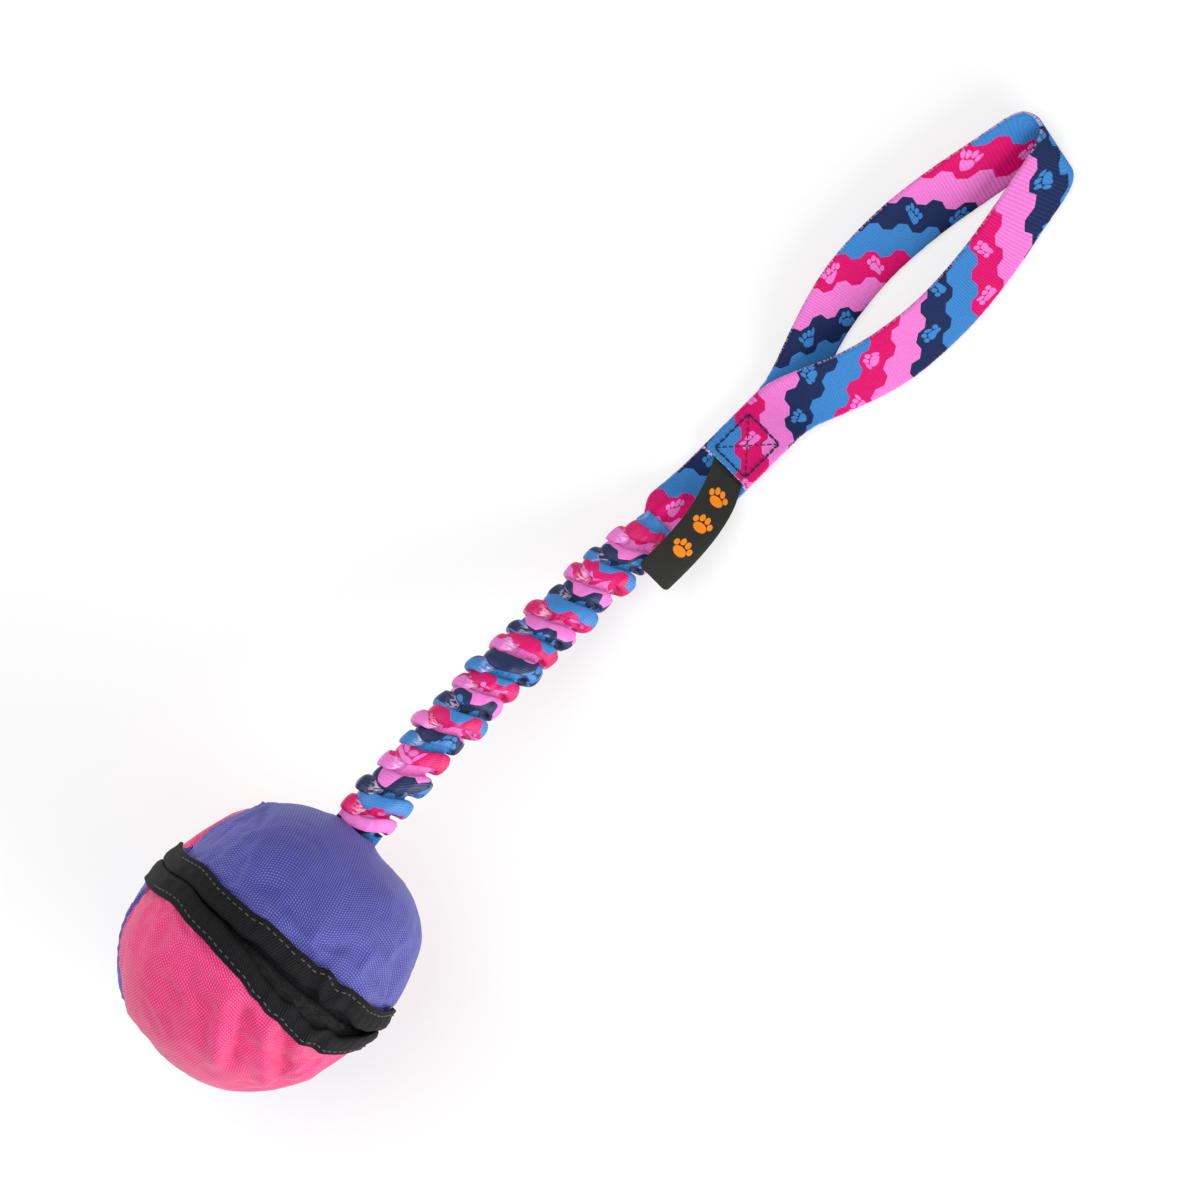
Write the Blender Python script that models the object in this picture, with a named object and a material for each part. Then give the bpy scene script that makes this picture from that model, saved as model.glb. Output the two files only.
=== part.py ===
"""Bungee tug toy: a padded two-colour ball with a taped mouth, a ruched bungee and a hand loop.

Metres, +Z up, +X from the ball to the hand loop. The toy lies on z = 0 with the ball's mouth up.
The origin is on the ball's rest flat, a little in front of the seam that the mouth opens about.
"""

import math

import bmesh
import bpy
from mathutils import Matrix, Vector

MM = 0.001

# Clearances
CLEARANCE = 0.3 * MM
LAYER_GAP = 0.5 * MM
OVERRUN = 6.0 * MM

# Ball
BALL_RADIUS = 60.0 * MM
BALL_HALF_WIDTH = 55.0 * MM
BALL_FULLNESS = 2.3
BALL_YAW = math.radians(7.5)
BALL_ROLL = math.radians(13.0)
REST_FLAT_DEPTH = 1.0 * MM
REST_FROM_SEAM = 4.0 * MM
PANEL_TIP_RADIUS = 0.9 * MM
PANEL_THICKNESS = 1.4 * MM
FOAM_THICKNESS = 6.0 * MM
LINING_THICKNESS = 0.8 * MM
PANEL_ROWS, PANEL_COLUMNS = 17, 8
FOAM_ROWS, FOAM_COLUMNS = 13, 6
LINING_ROWS, LINING_COLUMNS = 13, 10
LIP_STEP_ANGLE = math.radians(0.6)

# Mouth
MOUTH_GAP_NARROW = 2.6 * MM
MOUTH_GAP_WIDE = 10.0 * MM
MOUTH_WIDE_PLACE = -23.0 * MM
MOUTH_WIDE_SPREAD = 22.0 * MM
MOUTH_END_RADIUS = 14.0 * MM
BINDING_WIDTH = 10.0 * MM
BINDING_THICKNESS = 1.3 * MM
BINDING_LIP_DEPTH = 2.0 * MM
BINDING_WEB_DEPTH = 11.0 * MM
BINDING_ROWS = 21
TAPE_THICKNESS = 1.2 * MM
TAPE_END_RADIUS = 26.0 * MM
TAPE_ROWS = 15
LIP_THREAD_RADIUS = 0.35 * MM
LIP_THREAD_FROM_EDGE = 2.0 * MM

# Sewn tab and elastic core
TAB_WIDTH = 20.0 * MM
TAB_THICKNESS = 2.0 * MM
TAB_REACH = 4.0 * MM
TAB_BITE = 7.0 * MM
CORE_RADIUS = 3.0 * MM
CORE_SIDES = 10

# Ruched sleeve, whose end is given from the ball's middle
SLEEVE_END_X = 228.0 * MM
SLEEVE_END_Y = 10.0 * MM
SLEEVE_FOLDS = 16
SLEEVE_CUFF = 4.0 * MM
SLEEVE_VALLEY_HALF_WIDTH = 9.6 * MM
SLEEVE_VALLEY_HALF_HEIGHT = 4.8 * MM
SLEEVE_RIDGE_HALF_WIDTH = 11.6 * MM
SLEEVE_RIDGE_HALF_HEIGHT = 7.0 * MM
SLEEVE_BORE_HALF_WIDTH = 7.6 * MM
SLEEVE_BORE_HALF_HEIGHT = 3.6 * MM
SLEEVE_SLANT = math.radians(20.0)
SLEEVE_SIDES = 14
SLEEVE_PULL_SHARE = 0.95
FOLD_STATION_SHARES = ((0.0, 0.0), (0.35, 1.0), (0.78, 0.8))

# Webbing: neck, stitched end and hand loop, placed from the ball's middle
WEBBING_WIDTH = 25.0 * MM
WEBBING_THICKNESS = 2.0 * MM
STRAP_Y = 6.0 * MM
NECK_WIDTH = 21.0 * MM
NECK_CUP = 2.5 * MM
NECK_LEVEL_X = 254.0 * MM
NECK_STATIONS = 9
STRAP_CUT_X = 262.0 * MM
FOLD_X = 287.0 * MM
LOOP_LENGTH = 159.0 * MM
LOOP_HALF_SPREAD = 16.4 * MM
LOOP_LEAN = math.radians(23.0)
LOOP_LEAN_SHARE = 0.22
LOOP_LAYER_SHARE = 0.35
LOOP_SWEEP = math.radians(8.0)
LOOP_STEPS = 4
LOOP_SHARES = (
    (0.0, 0.0),
    (0.07, 0.0),
    (0.18, 0.52),
    (0.32, 1.0),
    (0.50, 1.16),
    (0.68, 1.0),
    (0.84, 0.68),
    (0.95, 0.50),
    (1.0, 0.29),
)

# Box stitch
STITCH_LENGTH = 19.0 * MM
STITCH_WIDTH = 17.0 * MM
STITCH_LINE = 0.9 * MM
STITCH_HEIGHT = 0.5 * MM
STITCH_FROM_CUT = 2.5 * MM

# Label
LABEL_WIDTH = 15.5 * MM
LABEL_THICKNESS = 0.6 * MM
LABEL_RUN = 52.0 * MM
LABEL_Y = 4.5 * MM
LABEL_DRIFT = -9.0 * MM
LABEL_STATIONS = 13
LABEL_RISE_PULL_SHARE = 1.5
LABEL_END_PULL_SHARE = 0.7
LABEL_OVER_FOLD = 1.5 * MM

PURPLE = ("purple_nylon", (0.115, 0.085, 0.43), 0.6)
PINK = ("pink_nylon", (0.95, 0.07, 0.28), 0.6)
BLACK = ("black_webbing", (0.012, 0.012, 0.014), 0.75)
FOAM = ("white_foam", (0.8, 0.8, 0.78), 0.9)
LINING = ("black_lining", (0.02, 0.02, 0.022), 0.8)
HOOKS = ("hook_tape", (0.015, 0.015, 0.017), 0.55)
LOOPS = ("loop_tape", (0.02, 0.02, 0.022), 0.95)
THREAD = ("grey_thread", (0.12, 0.12, 0.13), 0.6)
NAVY_THREAD = ("navy_thread", (0.008, 0.012, 0.05), 0.6)
PRINT = ("printed_webbing", (0.85, 0.03, 0.25), 0.7)
ELASTIC = ("white_elastic", (0.75, 0.75, 0.72), 0.7)
SATIN = ("grey_satin", (0.045, 0.046, 0.042), 0.45)


def smooth(share):
    """Eased share: 0 below 0, 1 above 1, level at both."""
    share = min(max(share, 0.0), 1.0)
    return share * share * (3.0 - 2.0 * share)


def spread(low, high, count):
    """Evenly spaced values from low to high, both included."""
    return [low + (high - low) * i / (count - 1) for i in range(count)]


def finish_material(finish):
    """The material of a finish: its name, colour and roughness."""
    name, colour, roughness = finish
    material = bpy.data.materials.get(name)
    if material is None:
        material = bpy.data.materials.new(name)
        material.use_nodes = True
        shader = material.node_tree.nodes["Principled BSDF"]
        shader.inputs["Base Color"].default_value = (*colour, 1.0)
        shader.inputs["Roughness"].default_value = roughness
    return material


def make_object(name, vertices, faces, finish):
    """An object from points and faces, with its faces turned outwards and shaded smooth."""
    mesh = bpy.data.meshes.new(name)
    mesh.from_pydata([tuple(v) for v in vertices], [], faces)
    model = bmesh.new()
    model.from_mesh(mesh)
    bmesh.ops.recalc_face_normals(model, faces=model.faces)
    model.to_mesh(mesh)
    model.free()
    mesh.shade_smooth()
    mesh.set_sharp_from_angle(angle=math.radians(40.0))
    mesh.materials.append(finish_material(finish))
    item = bpy.data.objects.new(name, mesh)
    bpy.context.scene.collection.objects.link(item)
    return item


def make_pivot(name, place):
    """An empty at a joint, for its moving pieces to hang from."""
    pivot = bpy.data.objects.new(name, None)
    pivot.empty_display_size = BALL_RADIUS
    bpy.context.scene.collection.objects.link(pivot)
    pivot.matrix_world = place
    return pivot


def hang(item, pivot, place=None):
    """Parents an object to a pivot and leaves it where it is, or at the place given."""
    item.parent = pivot
    item.matrix_parent_inverse = pivot.matrix_basis.inverted()
    item.matrix_basis = place or Matrix.Identity(4)


def tube_faces(rings, sides, closed_ends=True):
    """Faces of a tube whose points come ring by ring."""
    faces = []
    for ring in range(rings - 1):
        for side in range(sides):
            after = (side + 1) % sides
            low, high = ring * sides, (ring + 1) * sides
            faces.append((low + side, low + after, high + after, high + side))
    if closed_ends:
        faces.append(tuple(reversed(range(sides))))
        faces.append(tuple(range((rings - 1) * sides, rings * sides)))
    return faces


def swept_solid(name, rings, finish):
    """A closed solid through rings of points."""
    points = [point for ring in rings for point in ring]
    return make_object(name, points, tube_faces(len(rings), len(rings[0])), finish)


def box_solid(name, size, finish):
    """A box centred on its own origin."""
    half = [side / 2 for side in size]
    ring = ((-1, -1), (1, -1), (1, 1), (-1, 1))
    rings = [[Vector((x * half[0], y * half[1], z * half[2])) for x, y in ring] for z in (-1, 1)]
    return swept_solid(name, rings, finish)


def make_cutter(item):
    """Marks an object as a cutter, which isn't part of the toy."""
    item.hide_render = True
    item.display_type = "WIRE"
    return item


def cut(item, cutter):
    """Cuts a cutter out of an object."""
    modifier = item.modifiers.new("cut", "BOOLEAN")
    modifier.operation = "DIFFERENCE"
    modifier.solver = "EXACT"
    modifier.object = cutter


# Shape of the ball: a full profile turned about the line through its two poles


def ball_support(direction):
    """How far the ball reaches in a direction of its own axes."""
    power = BALL_FULLNESS / (BALL_FULLNESS - 1.0)
    across = BALL_RADIUS * math.hypot(direction.x, direction.z)
    along = BALL_HALF_WIDTH * abs(direction.y)
    return (across**power + along**power) ** (1.0 / power)


def ball_place():
    """The ball's place: rolled and turned, with its rest flat on the floor."""
    turn = Matrix.Rotation(BALL_YAW, 4, "Z") @ Matrix.Rotation(BALL_ROLL, 4, "X")
    down = turn.transposed() @ Vector((0.0, 0.0, -1.0))
    height = ball_support(down) - REST_FLAT_DEPTH
    return Matrix.Translation((-REST_FROM_SEAM, 0.0, height)) @ turn


def ball_profile(angle):
    """Profile at an angle from the +Y pole: radius, place along Y and the normal's two parts."""
    sine, cosine = math.sin(angle), math.cos(angle)
    scale = (abs(sine) ** BALL_FULLNESS + abs(cosine) ** BALL_FULLNESS) ** (-1.0 / BALL_FULLNESS)
    radius, along = BALL_RADIUS * sine * scale, BALL_HALF_WIDTH * cosine * scale
    power = BALL_FULLNESS - 1.0
    out = (radius / BALL_RADIUS) ** power / BALL_RADIUS
    side = math.copysign((abs(along) / BALL_HALF_WIDTH) ** power, along) / BALL_HALF_WIDTH
    length = math.hypot(out, side)
    return radius, along, out / length, side / length


def profile_angle(radius):
    """The angle from the +Y pole at which the profile has a radius."""
    share = radius / BALL_RADIUS
    return math.atan2(share, (1.0 - share**BALL_FULLNESS) ** (1.0 / BALL_FULLNESS))


def ball_point(angle, turn, offset, depth):
    """A point below the ball's surface, beside the seam plane of a turn about the pole line.

    The turn is counted from the mouth towards the bungee, and the offset is square to its plane.
    """
    radius, along, out, side = ball_profile(angle)
    inner = radius - depth * out
    turn += math.asin(max(-1.0, min(1.0, offset / inner)))
    return Vector((inner * math.sin(turn), along - depth * side, inner * math.cos(turn)))


MOUTH_TURN, BUNGEE_TURN, HINGE_TURN = 0.0, math.pi / 2, math.pi
MOUTH_ANGLE = profile_angle(MOUTH_END_RADIUS)
FOAM_DEPTH = PANEL_THICKNESS + LAYER_GAP
LINING_DEPTH = FOAM_DEPTH + FOAM_THICKNESS + LAYER_GAP
SEAM_OFFSET = CLEARANCE / 2
BALL = ball_place()


def lip_offset(angle):
    """Half of the mouth's gap: narrow at one end and gaping towards the other."""
    along = ball_profile(angle)[1]
    gape = math.exp(-(((along - MOUTH_WIDE_PLACE) / MOUTH_WIDE_SPREAD) ** 2))
    return (MOUTH_GAP_NARROW + (MOUTH_GAP_WIDE - MOUTH_GAP_NARROW) * gape) / 2


def web_offsets(angle):
    """The two faces of the binding's inner web, behind the tape."""
    front = lip_offset(angle) + TAPE_THICKNESS + CLEARANCE
    return front, front + BINDING_THICKNESS


def edge_offset(angle, at_mouth):
    """How far a panel's edge lies from its seam plane."""
    past_mouth = angle < MOUTH_ANGLE or angle > math.pi - MOUTH_ANGLE
    if not at_mouth or past_mouth:
        return SEAM_OFFSET
    return web_offsets(angle)[1] + CLEARANCE


def lune(name, side, turns, depths, angles, columns, finish):
    """A curved shell between two turns, on the bungee's side (1) or the far side (-1)."""
    grids = []
    for depth in depths:
        for angle in angles:
            first = edge_offset(angle, turns[0] == MOUTH_TURN)
            last = edge_offset(angle, turns[1] == MOUTH_TURN)
            ends = (ball_point(angle, turns[0], first, depth), ball_point(angle, turns[1], -last, depth))
            low, high = (math.atan2(end.x, end.z) for end in ends)
            high += 2 * math.pi if high < low else 0.0
            for turn in spread(low, high, columns + 1):
                point = ball_point(angle, turn, 0.0, depth)
                grids.append(Vector((side * point.x, point.y, point.z)))
    return make_object(name, grids, shell_faces(len(angles), columns + 1), finish)


def shell_faces(rows, columns):
    """Faces of a shell made of an outer and an inner grid of points."""
    count = rows * columns
    faces = []
    for row in range(rows - 1):
        for column in range(columns - 1):
            corner = row * columns + column
            quad = (corner, corner + 1, corner + columns + 1, corner + columns)
            faces.append(quad)
            faces.append(tuple(count + index for index in reversed(quad)))
    rim = [(0, column) for column in range(columns)]
    rim += [(row, columns - 1) for row in range(1, rows)]
    rim += [(rows - 1, column) for column in range(columns - 2, -1, -1)]
    rim += [(row, 0) for row in range(rows - 2, 0, -1)]
    loop = [row * columns + column for row, column in rim]
    for here, after in zip(loop, loop[1:] + loop[:1]):
        faces.append((here, after, count + after, count + here))
    return faces


def panel_angles():
    """Angles from pole to pole of the panels' rows, with a step where the mouth ends."""
    tip = profile_angle(PANEL_TIP_RADIUS)
    near = [tip, (tip + MOUTH_ANGLE) / 2, MOUTH_ANGLE - LIP_STEP_ANGLE]
    return near + spread(MOUTH_ANGLE, math.pi - MOUTH_ANGLE, PANEL_ROWS) + [math.pi - a for a in reversed(near)]


def build_ball_half(half, side, colours, pivot):
    """One half of the ball: two panels, two foam pads and a lining."""
    items = []
    foam_angles = spread(MOUTH_ANGLE, math.pi - MOUTH_ANGLE, FOAM_ROWS)
    lining_angles = spread(MOUTH_ANGLE, math.pi - MOUTH_ANGLE, LINING_ROWS)
    quarters = (("front", (MOUTH_TURN, BUNGEE_TURN)), ("back", (BUNGEE_TURN, HINGE_TURN)))
    for (place, turns), colour in zip(quarters, colours):
        panel_depths = (0.0, PANEL_THICKNESS)
        foam_depths = (FOAM_DEPTH, FOAM_DEPTH + FOAM_THICKNESS)
        panel = lune(f"panel_{place}_{half}", side, turns, panel_depths, panel_angles(), PANEL_COLUMNS, colour)
        foam = lune(f"foam_{place}_{half}", side, turns, foam_depths, foam_angles, FOAM_COLUMNS, FOAM)
        items += [panel, foam]
    depths = (LINING_DEPTH, LINING_DEPTH + LINING_THICKNESS)
    turns = (MOUTH_TURN, HINGE_TURN)
    items.append(lune(f"lining_{half}", side, turns, depths, lining_angles, LINING_COLUMNS, LINING))
    for item in items:
        hang(item, pivot, BALL)
    return items


def lip_rings(side, angles, section):
    """Rings along one lip, each from a section of offsets and depths at an angle."""
    rings = []
    for angle in angles:
        ring = [ball_point(angle, MOUTH_TURN, offset, depth) for offset, depth in section(angle)]
        rings.append([Vector((side * point.x, point.y, point.z)) for point in ring])
    return rings


def binding_section(angle):
    """The binding: a flange on the panel, a rolled lip and a web down the mouth's wall."""
    lip = lip_offset(angle)
    front, back = web_offsets(angle)
    outer, middle = lip + BINDING_WIDTH, lip + BINDING_WIDTH / 2
    top, under = -(CLEARANCE + BINDING_THICKNESS), -CLEARANCE
    flange = [(lip, top), (middle, top), (outer, top), (outer, under), (middle, under), (back, under)]
    web = [(back, BINDING_WEB_DEPTH), (front, BINDING_WEB_DEPTH), (front, BINDING_LIP_DEPTH)]
    return flange + web + [(lip, BINDING_LIP_DEPTH)]


def tape_section(angle):
    """The hook or loop tape, on the web's face below the rolled lip."""
    lip = lip_offset(angle)
    top = BINDING_LIP_DEPTH + CLEARANCE
    corners = (lip, top), (lip + TAPE_THICKNESS, top), (lip + TAPE_THICKNESS, BINDING_WEB_DEPTH)
    return [*corners, (lip, BINDING_WEB_DEPTH)]


def lip_thread_section(angle):
    """The stitching's thread, on the binding near its panel side."""
    offset = lip_offset(angle) + BINDING_WIDTH - LIP_THREAD_FROM_EDGE
    depth = -(BINDING_THICKNESS + 2 * CLEARANCE + LIP_THREAD_RADIUS)
    turns = [math.pi * k / 3 for k in range(6)]
    return [
        (offset + LIP_THREAD_RADIUS * math.cos(t), depth + LIP_THREAD_RADIUS * math.sin(t)) for t in turns
    ]


def build_lip(half, side, tape_name, tape_finish, pivot):
    """One lip of the mouth: its binding, its tape and its stitching."""
    lip_angles = spread(MOUTH_ANGLE, math.pi - MOUTH_ANGLE, BINDING_ROWS)
    tape_angle = profile_angle(TAPE_END_RADIUS)
    tape_angles = spread(tape_angle, math.pi - tape_angle, TAPE_ROWS)
    binding = swept_solid(f"lip_binding_{half}", lip_rings(side, lip_angles, binding_section), BLACK)
    tape = swept_solid(tape_name, lip_rings(side, tape_angles, tape_section), tape_finish)
    thread = swept_solid(f"lip_thread_{half}", lip_rings(side, lip_angles, lip_thread_section), THREAD)
    for item in (binding, tape, thread):
        hang(item, pivot, BALL)


def build_tab(pivot):
    """The webbing tab sewn into the seam, and the cutter of its slot."""
    size = Vector((TAB_REACH + TAB_BITE, TAB_WIDTH, TAB_THICKNESS))
    middle = Vector((BALL_RADIUS + (TAB_REACH - TAB_BITE) / 2, 0.0, 0.0))
    place = BALL @ Matrix.Translation(middle)
    tab = box_solid("anchor_tab", size, PRINT)
    slot = box_solid("tab_slot", size + Vector([2 * CLEARANCE] * 3), BLACK)
    hang(tab, pivot, place)
    hang(slot, pivot, place)
    return make_cutter(slot)


# Bungee: a path from the ball's tab to the neck, in an even sag


def curve_point(start, start_pull, end, end_pull, share):
    """A point of the cubic between two ends with a pull at each."""
    s2, s3 = share**2, share**3
    a, b, c, d = 2 * s3 - 3 * s2 + 1, s3 - 2 * s2 + share, 3 * s2 - 2 * s3, s3 - s2
    return a * start + b * start_pull + c * end + d * end_pull


TOY_MIDDLE = Vector((BALL.translation.x, BALL.translation.y, 0.0))
BUNGEE_PIVOT = BALL @ Vector((BALL_RADIUS + TAB_REACH, 0.0, 0.0))
SLEEVE_START = BALL @ Vector((BALL_RADIUS + TAB_REACH + CLEARANCE, 0.0, 0.0))
SLEEVE_END = TOY_MIDDLE + Vector((SLEEVE_END_X, SLEEVE_END_Y, SLEEVE_RIDGE_HALF_HEIGHT + CLEARANCE))
SLEEVE_PULL = (SLEEVE_END - SLEEVE_START).length * SLEEVE_PULL_SHARE


def bungee_point(share):
    """A point of the bungee's middle line."""
    out = (BALL.to_3x3() @ Vector((1.0, 0.0, 0.0))) * SLEEVE_PULL
    return curve_point(SLEEVE_START, out, SLEEVE_END, Vector((SLEEVE_PULL, 0.0, 0.0)), share)


def bungee_frame(share):
    """The bungee's middle, and its directions along, across and up, rolled less and less."""
    step = 1e-4
    along = (bungee_point(share + step) - bungee_point(share - step)).normalized()
    across = Vector((0.0, 0.0, 1.0)).cross(along).normalized()
    up = along.cross(across)
    roll = BALL_ROLL * (1.0 - smooth(share))
    across, up = (
        across * math.cos(roll) + up * math.sin(roll),
        up * math.cos(roll) - across * math.sin(roll),
    )
    return bungee_point(share), along, across, up


def bungee_ring(share, half_width, half_height, slant, sides):
    """An oval ring round the bungee's middle line, slanted so that its -Y side lies further along."""
    middle, along, across, up = bungee_frame(share)
    ring = []
    for side in range(sides):
        turn = 2 * math.pi * side / sides
        wide = half_width * math.cos(turn)
        ring.append(middle + across * wide + up * (half_height * math.sin(turn)) - along * (wide * slant))
    return ring


def sleeve_rings():
    """The sleeve's outer rings: a plain cuff, the gathered folds and a plain cuff."""
    length = (SLEEVE_END - SLEEVE_START).length
    cuff = SLEEVE_CUFF / length
    pitch = (1.0 - 2 * cuff) / SLEEVE_FOLDS
    rings = [(0.0, 0.0), (cuff / 2, 0.0)]
    for fold in range(SLEEVE_FOLDS):
        rings += [(cuff + pitch * (fold + place), rise) for place, rise in FOLD_STATION_SHARES]
    rings += [(1.0 - cuff, 0.0), (1.0 - cuff / 2, 0.0), (1.0, 0.0)]
    found = []
    for share, rise in rings:
        width = SLEEVE_VALLEY_HALF_WIDTH + (SLEEVE_RIDGE_HALF_WIDTH - SLEEVE_VALLEY_HALF_WIDTH) * rise
        height = SLEEVE_VALLEY_HALF_HEIGHT + (SLEEVE_RIDGE_HALF_HEIGHT - SLEEVE_VALLEY_HALF_HEIGHT) * rise
        inner = smooth((share - cuff) / (2 * pitch)) * smooth((1.0 - cuff - share) / (2 * pitch))
        found.append(bungee_ring(share, width, height, math.tan(SLEEVE_SLANT) * inner, SLEEVE_SIDES))
    return found


def build_sleeve(pivot):
    """The ruched sleeve with its bore, and the elastic core that gathers it."""
    outer = sleeve_rings()
    bore = [
        bungee_ring(share, SLEEVE_BORE_HALF_WIDTH, SLEEVE_BORE_HALF_HEIGHT, 0.0, SLEEVE_SIDES)
        for share in spread(0.0, 1.0, SLEEVE_FOLDS)
    ]
    rings = outer + bore[::-1]
    faces = tube_faces(len(rings), SLEEVE_SIDES, closed_ends=False)
    last = (len(rings) - 1) * SLEEVE_SIDES
    for side in range(SLEEVE_SIDES):
        after = (side + 1) % SLEEVE_SIDES
        faces.append((last + side, last + after, after, side))
    sleeve = make_object("bungee_sleeve", [point for ring in rings for point in ring], faces, PRINT)
    shares = spread(0.0, 1.0, SLEEVE_FOLDS)
    core_rings = [bungee_ring(share, CORE_RADIUS, CORE_RADIUS, 0.0, CORE_SIDES) for share in shares]
    core = swept_solid("elastic_core", core_rings, ELASTIC)
    hang(sleeve, pivot)
    hang(core, pivot)


# Webbing


def ribbon_ring(middle, half_width, half_thickness, cup=0.0):
    """A ribbon's section: across its upper face and back across its lower one, cupped upwards."""
    thick = half_thickness.normalized()
    upper, lower = [], []
    for across in (-1.0, -0.5, 0.0, 0.5, 1.0):
        base = middle + half_width * across + thick * (cup * across * across)
        upper.append(base + half_thickness)
        lower.append(base - half_thickness)
    return upper + lower[::-1]


LOW_LAYER = WEBBING_THICKNESS / 2
TOP_LAYER = LOW_LAYER + WEBBING_THICKNESS + LAYER_GAP
STACK_TOP = TOP_LAYER + WEBBING_THICKNESS / 2
UP = Vector((0.0, 0.0, 1.0))


def build_neck(pivot):
    """The cupped webbing from the sleeve down to the floor and under the stitched end."""
    start = SLEEVE_END + Vector((CLEARANCE, 0.0, 0.0))
    level = TOY_MIDDLE + Vector((NECK_LEVEL_X, STRAP_Y, LOW_LAYER))
    pull = Vector((level.x - start.x, 0.0, 0.0))
    rings = []
    for share in spread(0.0, 1.0, NECK_STATIONS):
        middle = curve_point(start, pull, level, pull, share)
        width = NECK_WIDTH + (WEBBING_WIDTH - NECK_WIDTH) * smooth(share)
        cup = NECK_CUP * (1.0 - smooth(share))
        rings.append(
            ribbon_ring(middle, Vector((0.0, width / 2, 0.0)), UP * (WEBBING_THICKNESS / 2), cup)
        )
    end = TOY_MIDDLE + Vector((FOLD_X - SEAM_OFFSET, STRAP_Y, LOW_LAYER))
    rings.append(ribbon_ring(end, Vector((0.0, WEBBING_WIDTH / 2, 0.0)), UP * (WEBBING_THICKNESS / 2)))
    hang(swept_solid("neck_webbing", rings, PRINT), pivot)


def build_strap_end(pivot):
    """The webbing's cut end, sewn down on the neck."""
    rings = []
    for place in (STRAP_CUT_X, FOLD_X - SEAM_OFFSET):
        middle = TOY_MIDDLE + Vector((place, STRAP_Y, TOP_LAYER))
        rings.append(
            ribbon_ring(middle, Vector((0.0, WEBBING_WIDTH / 2, 0.0)), UP * (WEBBING_THICKNESS / 2))
        )
    hang(swept_solid("strap_end", rings, PRINT), pivot)


def spline_points(corners, steps):
    """Points of the even cubic spline that the corners pull."""
    ends = [corners[0]] * 2 + list(corners) + [corners[-1]] * 2
    points = []
    for index in range(len(ends) - 3):
        a, b, c, d = ends[index : index + 4]
        for step in range(steps):
            t = step / steps
            weights = (1 - t) ** 3, 3 * t**3 - 6 * t**2 + 4, -3 * t**3 + 3 * t**2 + 3 * t + 1, t**3
            points.append(sum((w * p for w, p in zip(weights, (a, b, c, d))), Vector((0, 0))) / 6)
    return points + [corners[-1]]


def loop_path():
    """The hand loop's middle line seen from above, out along one leg and back along the other."""
    out = [Vector((x * LOOP_LENGTH, y * LOOP_HALF_SPREAD)) for x, y in LOOP_SHARES]
    back = [Vector((corner.x, -corner.y)) for corner in reversed(out)]
    points = spline_points(out + back, LOOP_STEPS)
    kept = [points[0]]
    for point in points[1:]:
        if (point - kept[-1]).length > CLEARANCE:
            kept.append(point)
    return kept


def loop_stations():
    """The hand loop's stations: middle, half width and half thickness."""
    path = loop_path()
    stations = []
    for index, point in enumerate(path):
        share = point.x / LOOP_LENGTH
        lean = LOOP_LEAN * smooth(share / LOOP_LEAN_SHARE)
        sweep = LOOP_SWEEP * smooth(share / LOOP_LEAN_SHARE)
        layer = 0.0 if index < len(path) / 2 else TOP_LAYER - LOW_LAYER
        resting = (WEBBING_WIDTH * math.sin(lean) + WEBBING_THICKNESS * math.cos(lean)) / 2
        height = resting + layer * (1.0 - smooth(share / LOOP_LAYER_SHARE))
        across = Vector((math.sin(sweep), math.cos(sweep), math.tan(lean))).normalized()
        before, after = path[max(index - 1, 0)], path[min(index + 1, len(path) - 1)]
        along = Vector((after.x - before.x, after.y - before.y, 0.0)).normalized()
        if index in (0, len(path) - 1):
            along = Vector((1.0 if index == 0 else -1.0, 0.0, 0.0))
        normal = along.cross(across).normalized()
        start = TOY_MIDDLE + Vector((FOLD_X + SEAM_OFFSET, STRAP_Y, height))
        stations.append(
            (
                start + Vector((point.x, point.y, 0.0)),
                across * (WEBBING_WIDTH / 2),
                normal * (WEBBING_THICKNESS / 2),
            )
        )
    return stations


def least_self_gap(stations):
    """The least gap between the loop's two legs, measured square to the webbing's width."""
    half = len(stations) // 2
    gaps = []
    for middle, width, _ in stations[: half - LOOP_STEPS]:
        across = width.normalized()
        for other, _, _ in stations[half + LOOP_STEPS :]:
            between = other - middle
            gaps.append((between - across * between.dot(across)).length)
    return min(gaps) - WEBBING_THICKNESS


def build_loop(pivot):
    """The hand loop, leaning on its lower edge."""
    stations = loop_stations()
    rings = [ribbon_ring(middle, width, thick) for middle, width, thick in stations]
    hang(swept_solid("hand_loop", rings, PRINT), pivot)
    print(f"hand loop: least gap between its legs {least_self_gap(stations) / MM:.2f} mm")


def triangle_prism(corners, half_height):
    """Two rings of a triangle's corners, for a cutter."""
    return [[Vector((x, y, z)) for x, y in corners] for z in (-half_height, half_height)]


def build_box_stitch(pivot):
    """The box and cross of thread over the strap's end, cut from one plate."""
    size = Vector((STITCH_LENGTH, STITCH_WIDTH, STITCH_HEIGHT))
    middle = Vector(
        (
            STRAP_CUT_X + STITCH_FROM_CUT + STITCH_LENGTH / 2,
            STRAP_Y,
            STACK_TOP + CLEARANCE + STITCH_HEIGHT / 2,
        )
    )
    place = Matrix.Translation(TOY_MIDDLE + middle)
    plate = box_solid("box_stitch", size, NAVY_THREAD)
    hang(plate, pivot, place)
    length, width = STITCH_LENGTH / 2, STITCH_WIDTH / 2
    for axis, (reach, breadth) in enumerate(((length, width), (width, length))):
        slope = breadth / reach
        inset = STITCH_LINE / 2 * math.hypot(1.0, slope)
        far = reach - STITCH_LINE
        corners = [(inset / slope, 0.0), (far, slope * far - inset), (far, inset - slope * far)]
        for sign in (1, -1):
            turned = [(sign * x, y) if axis == 0 else (y, sign * x) for x, y in corners]
            rings = triangle_prism(turned, OVERRUN)
            cutter = swept_solid(f"stitch_window_{axis}_{sign}", rings, NAVY_THREAD)
            hang(cutter, pivot, place)
            cut(plate, make_cutter(cutter))


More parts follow.
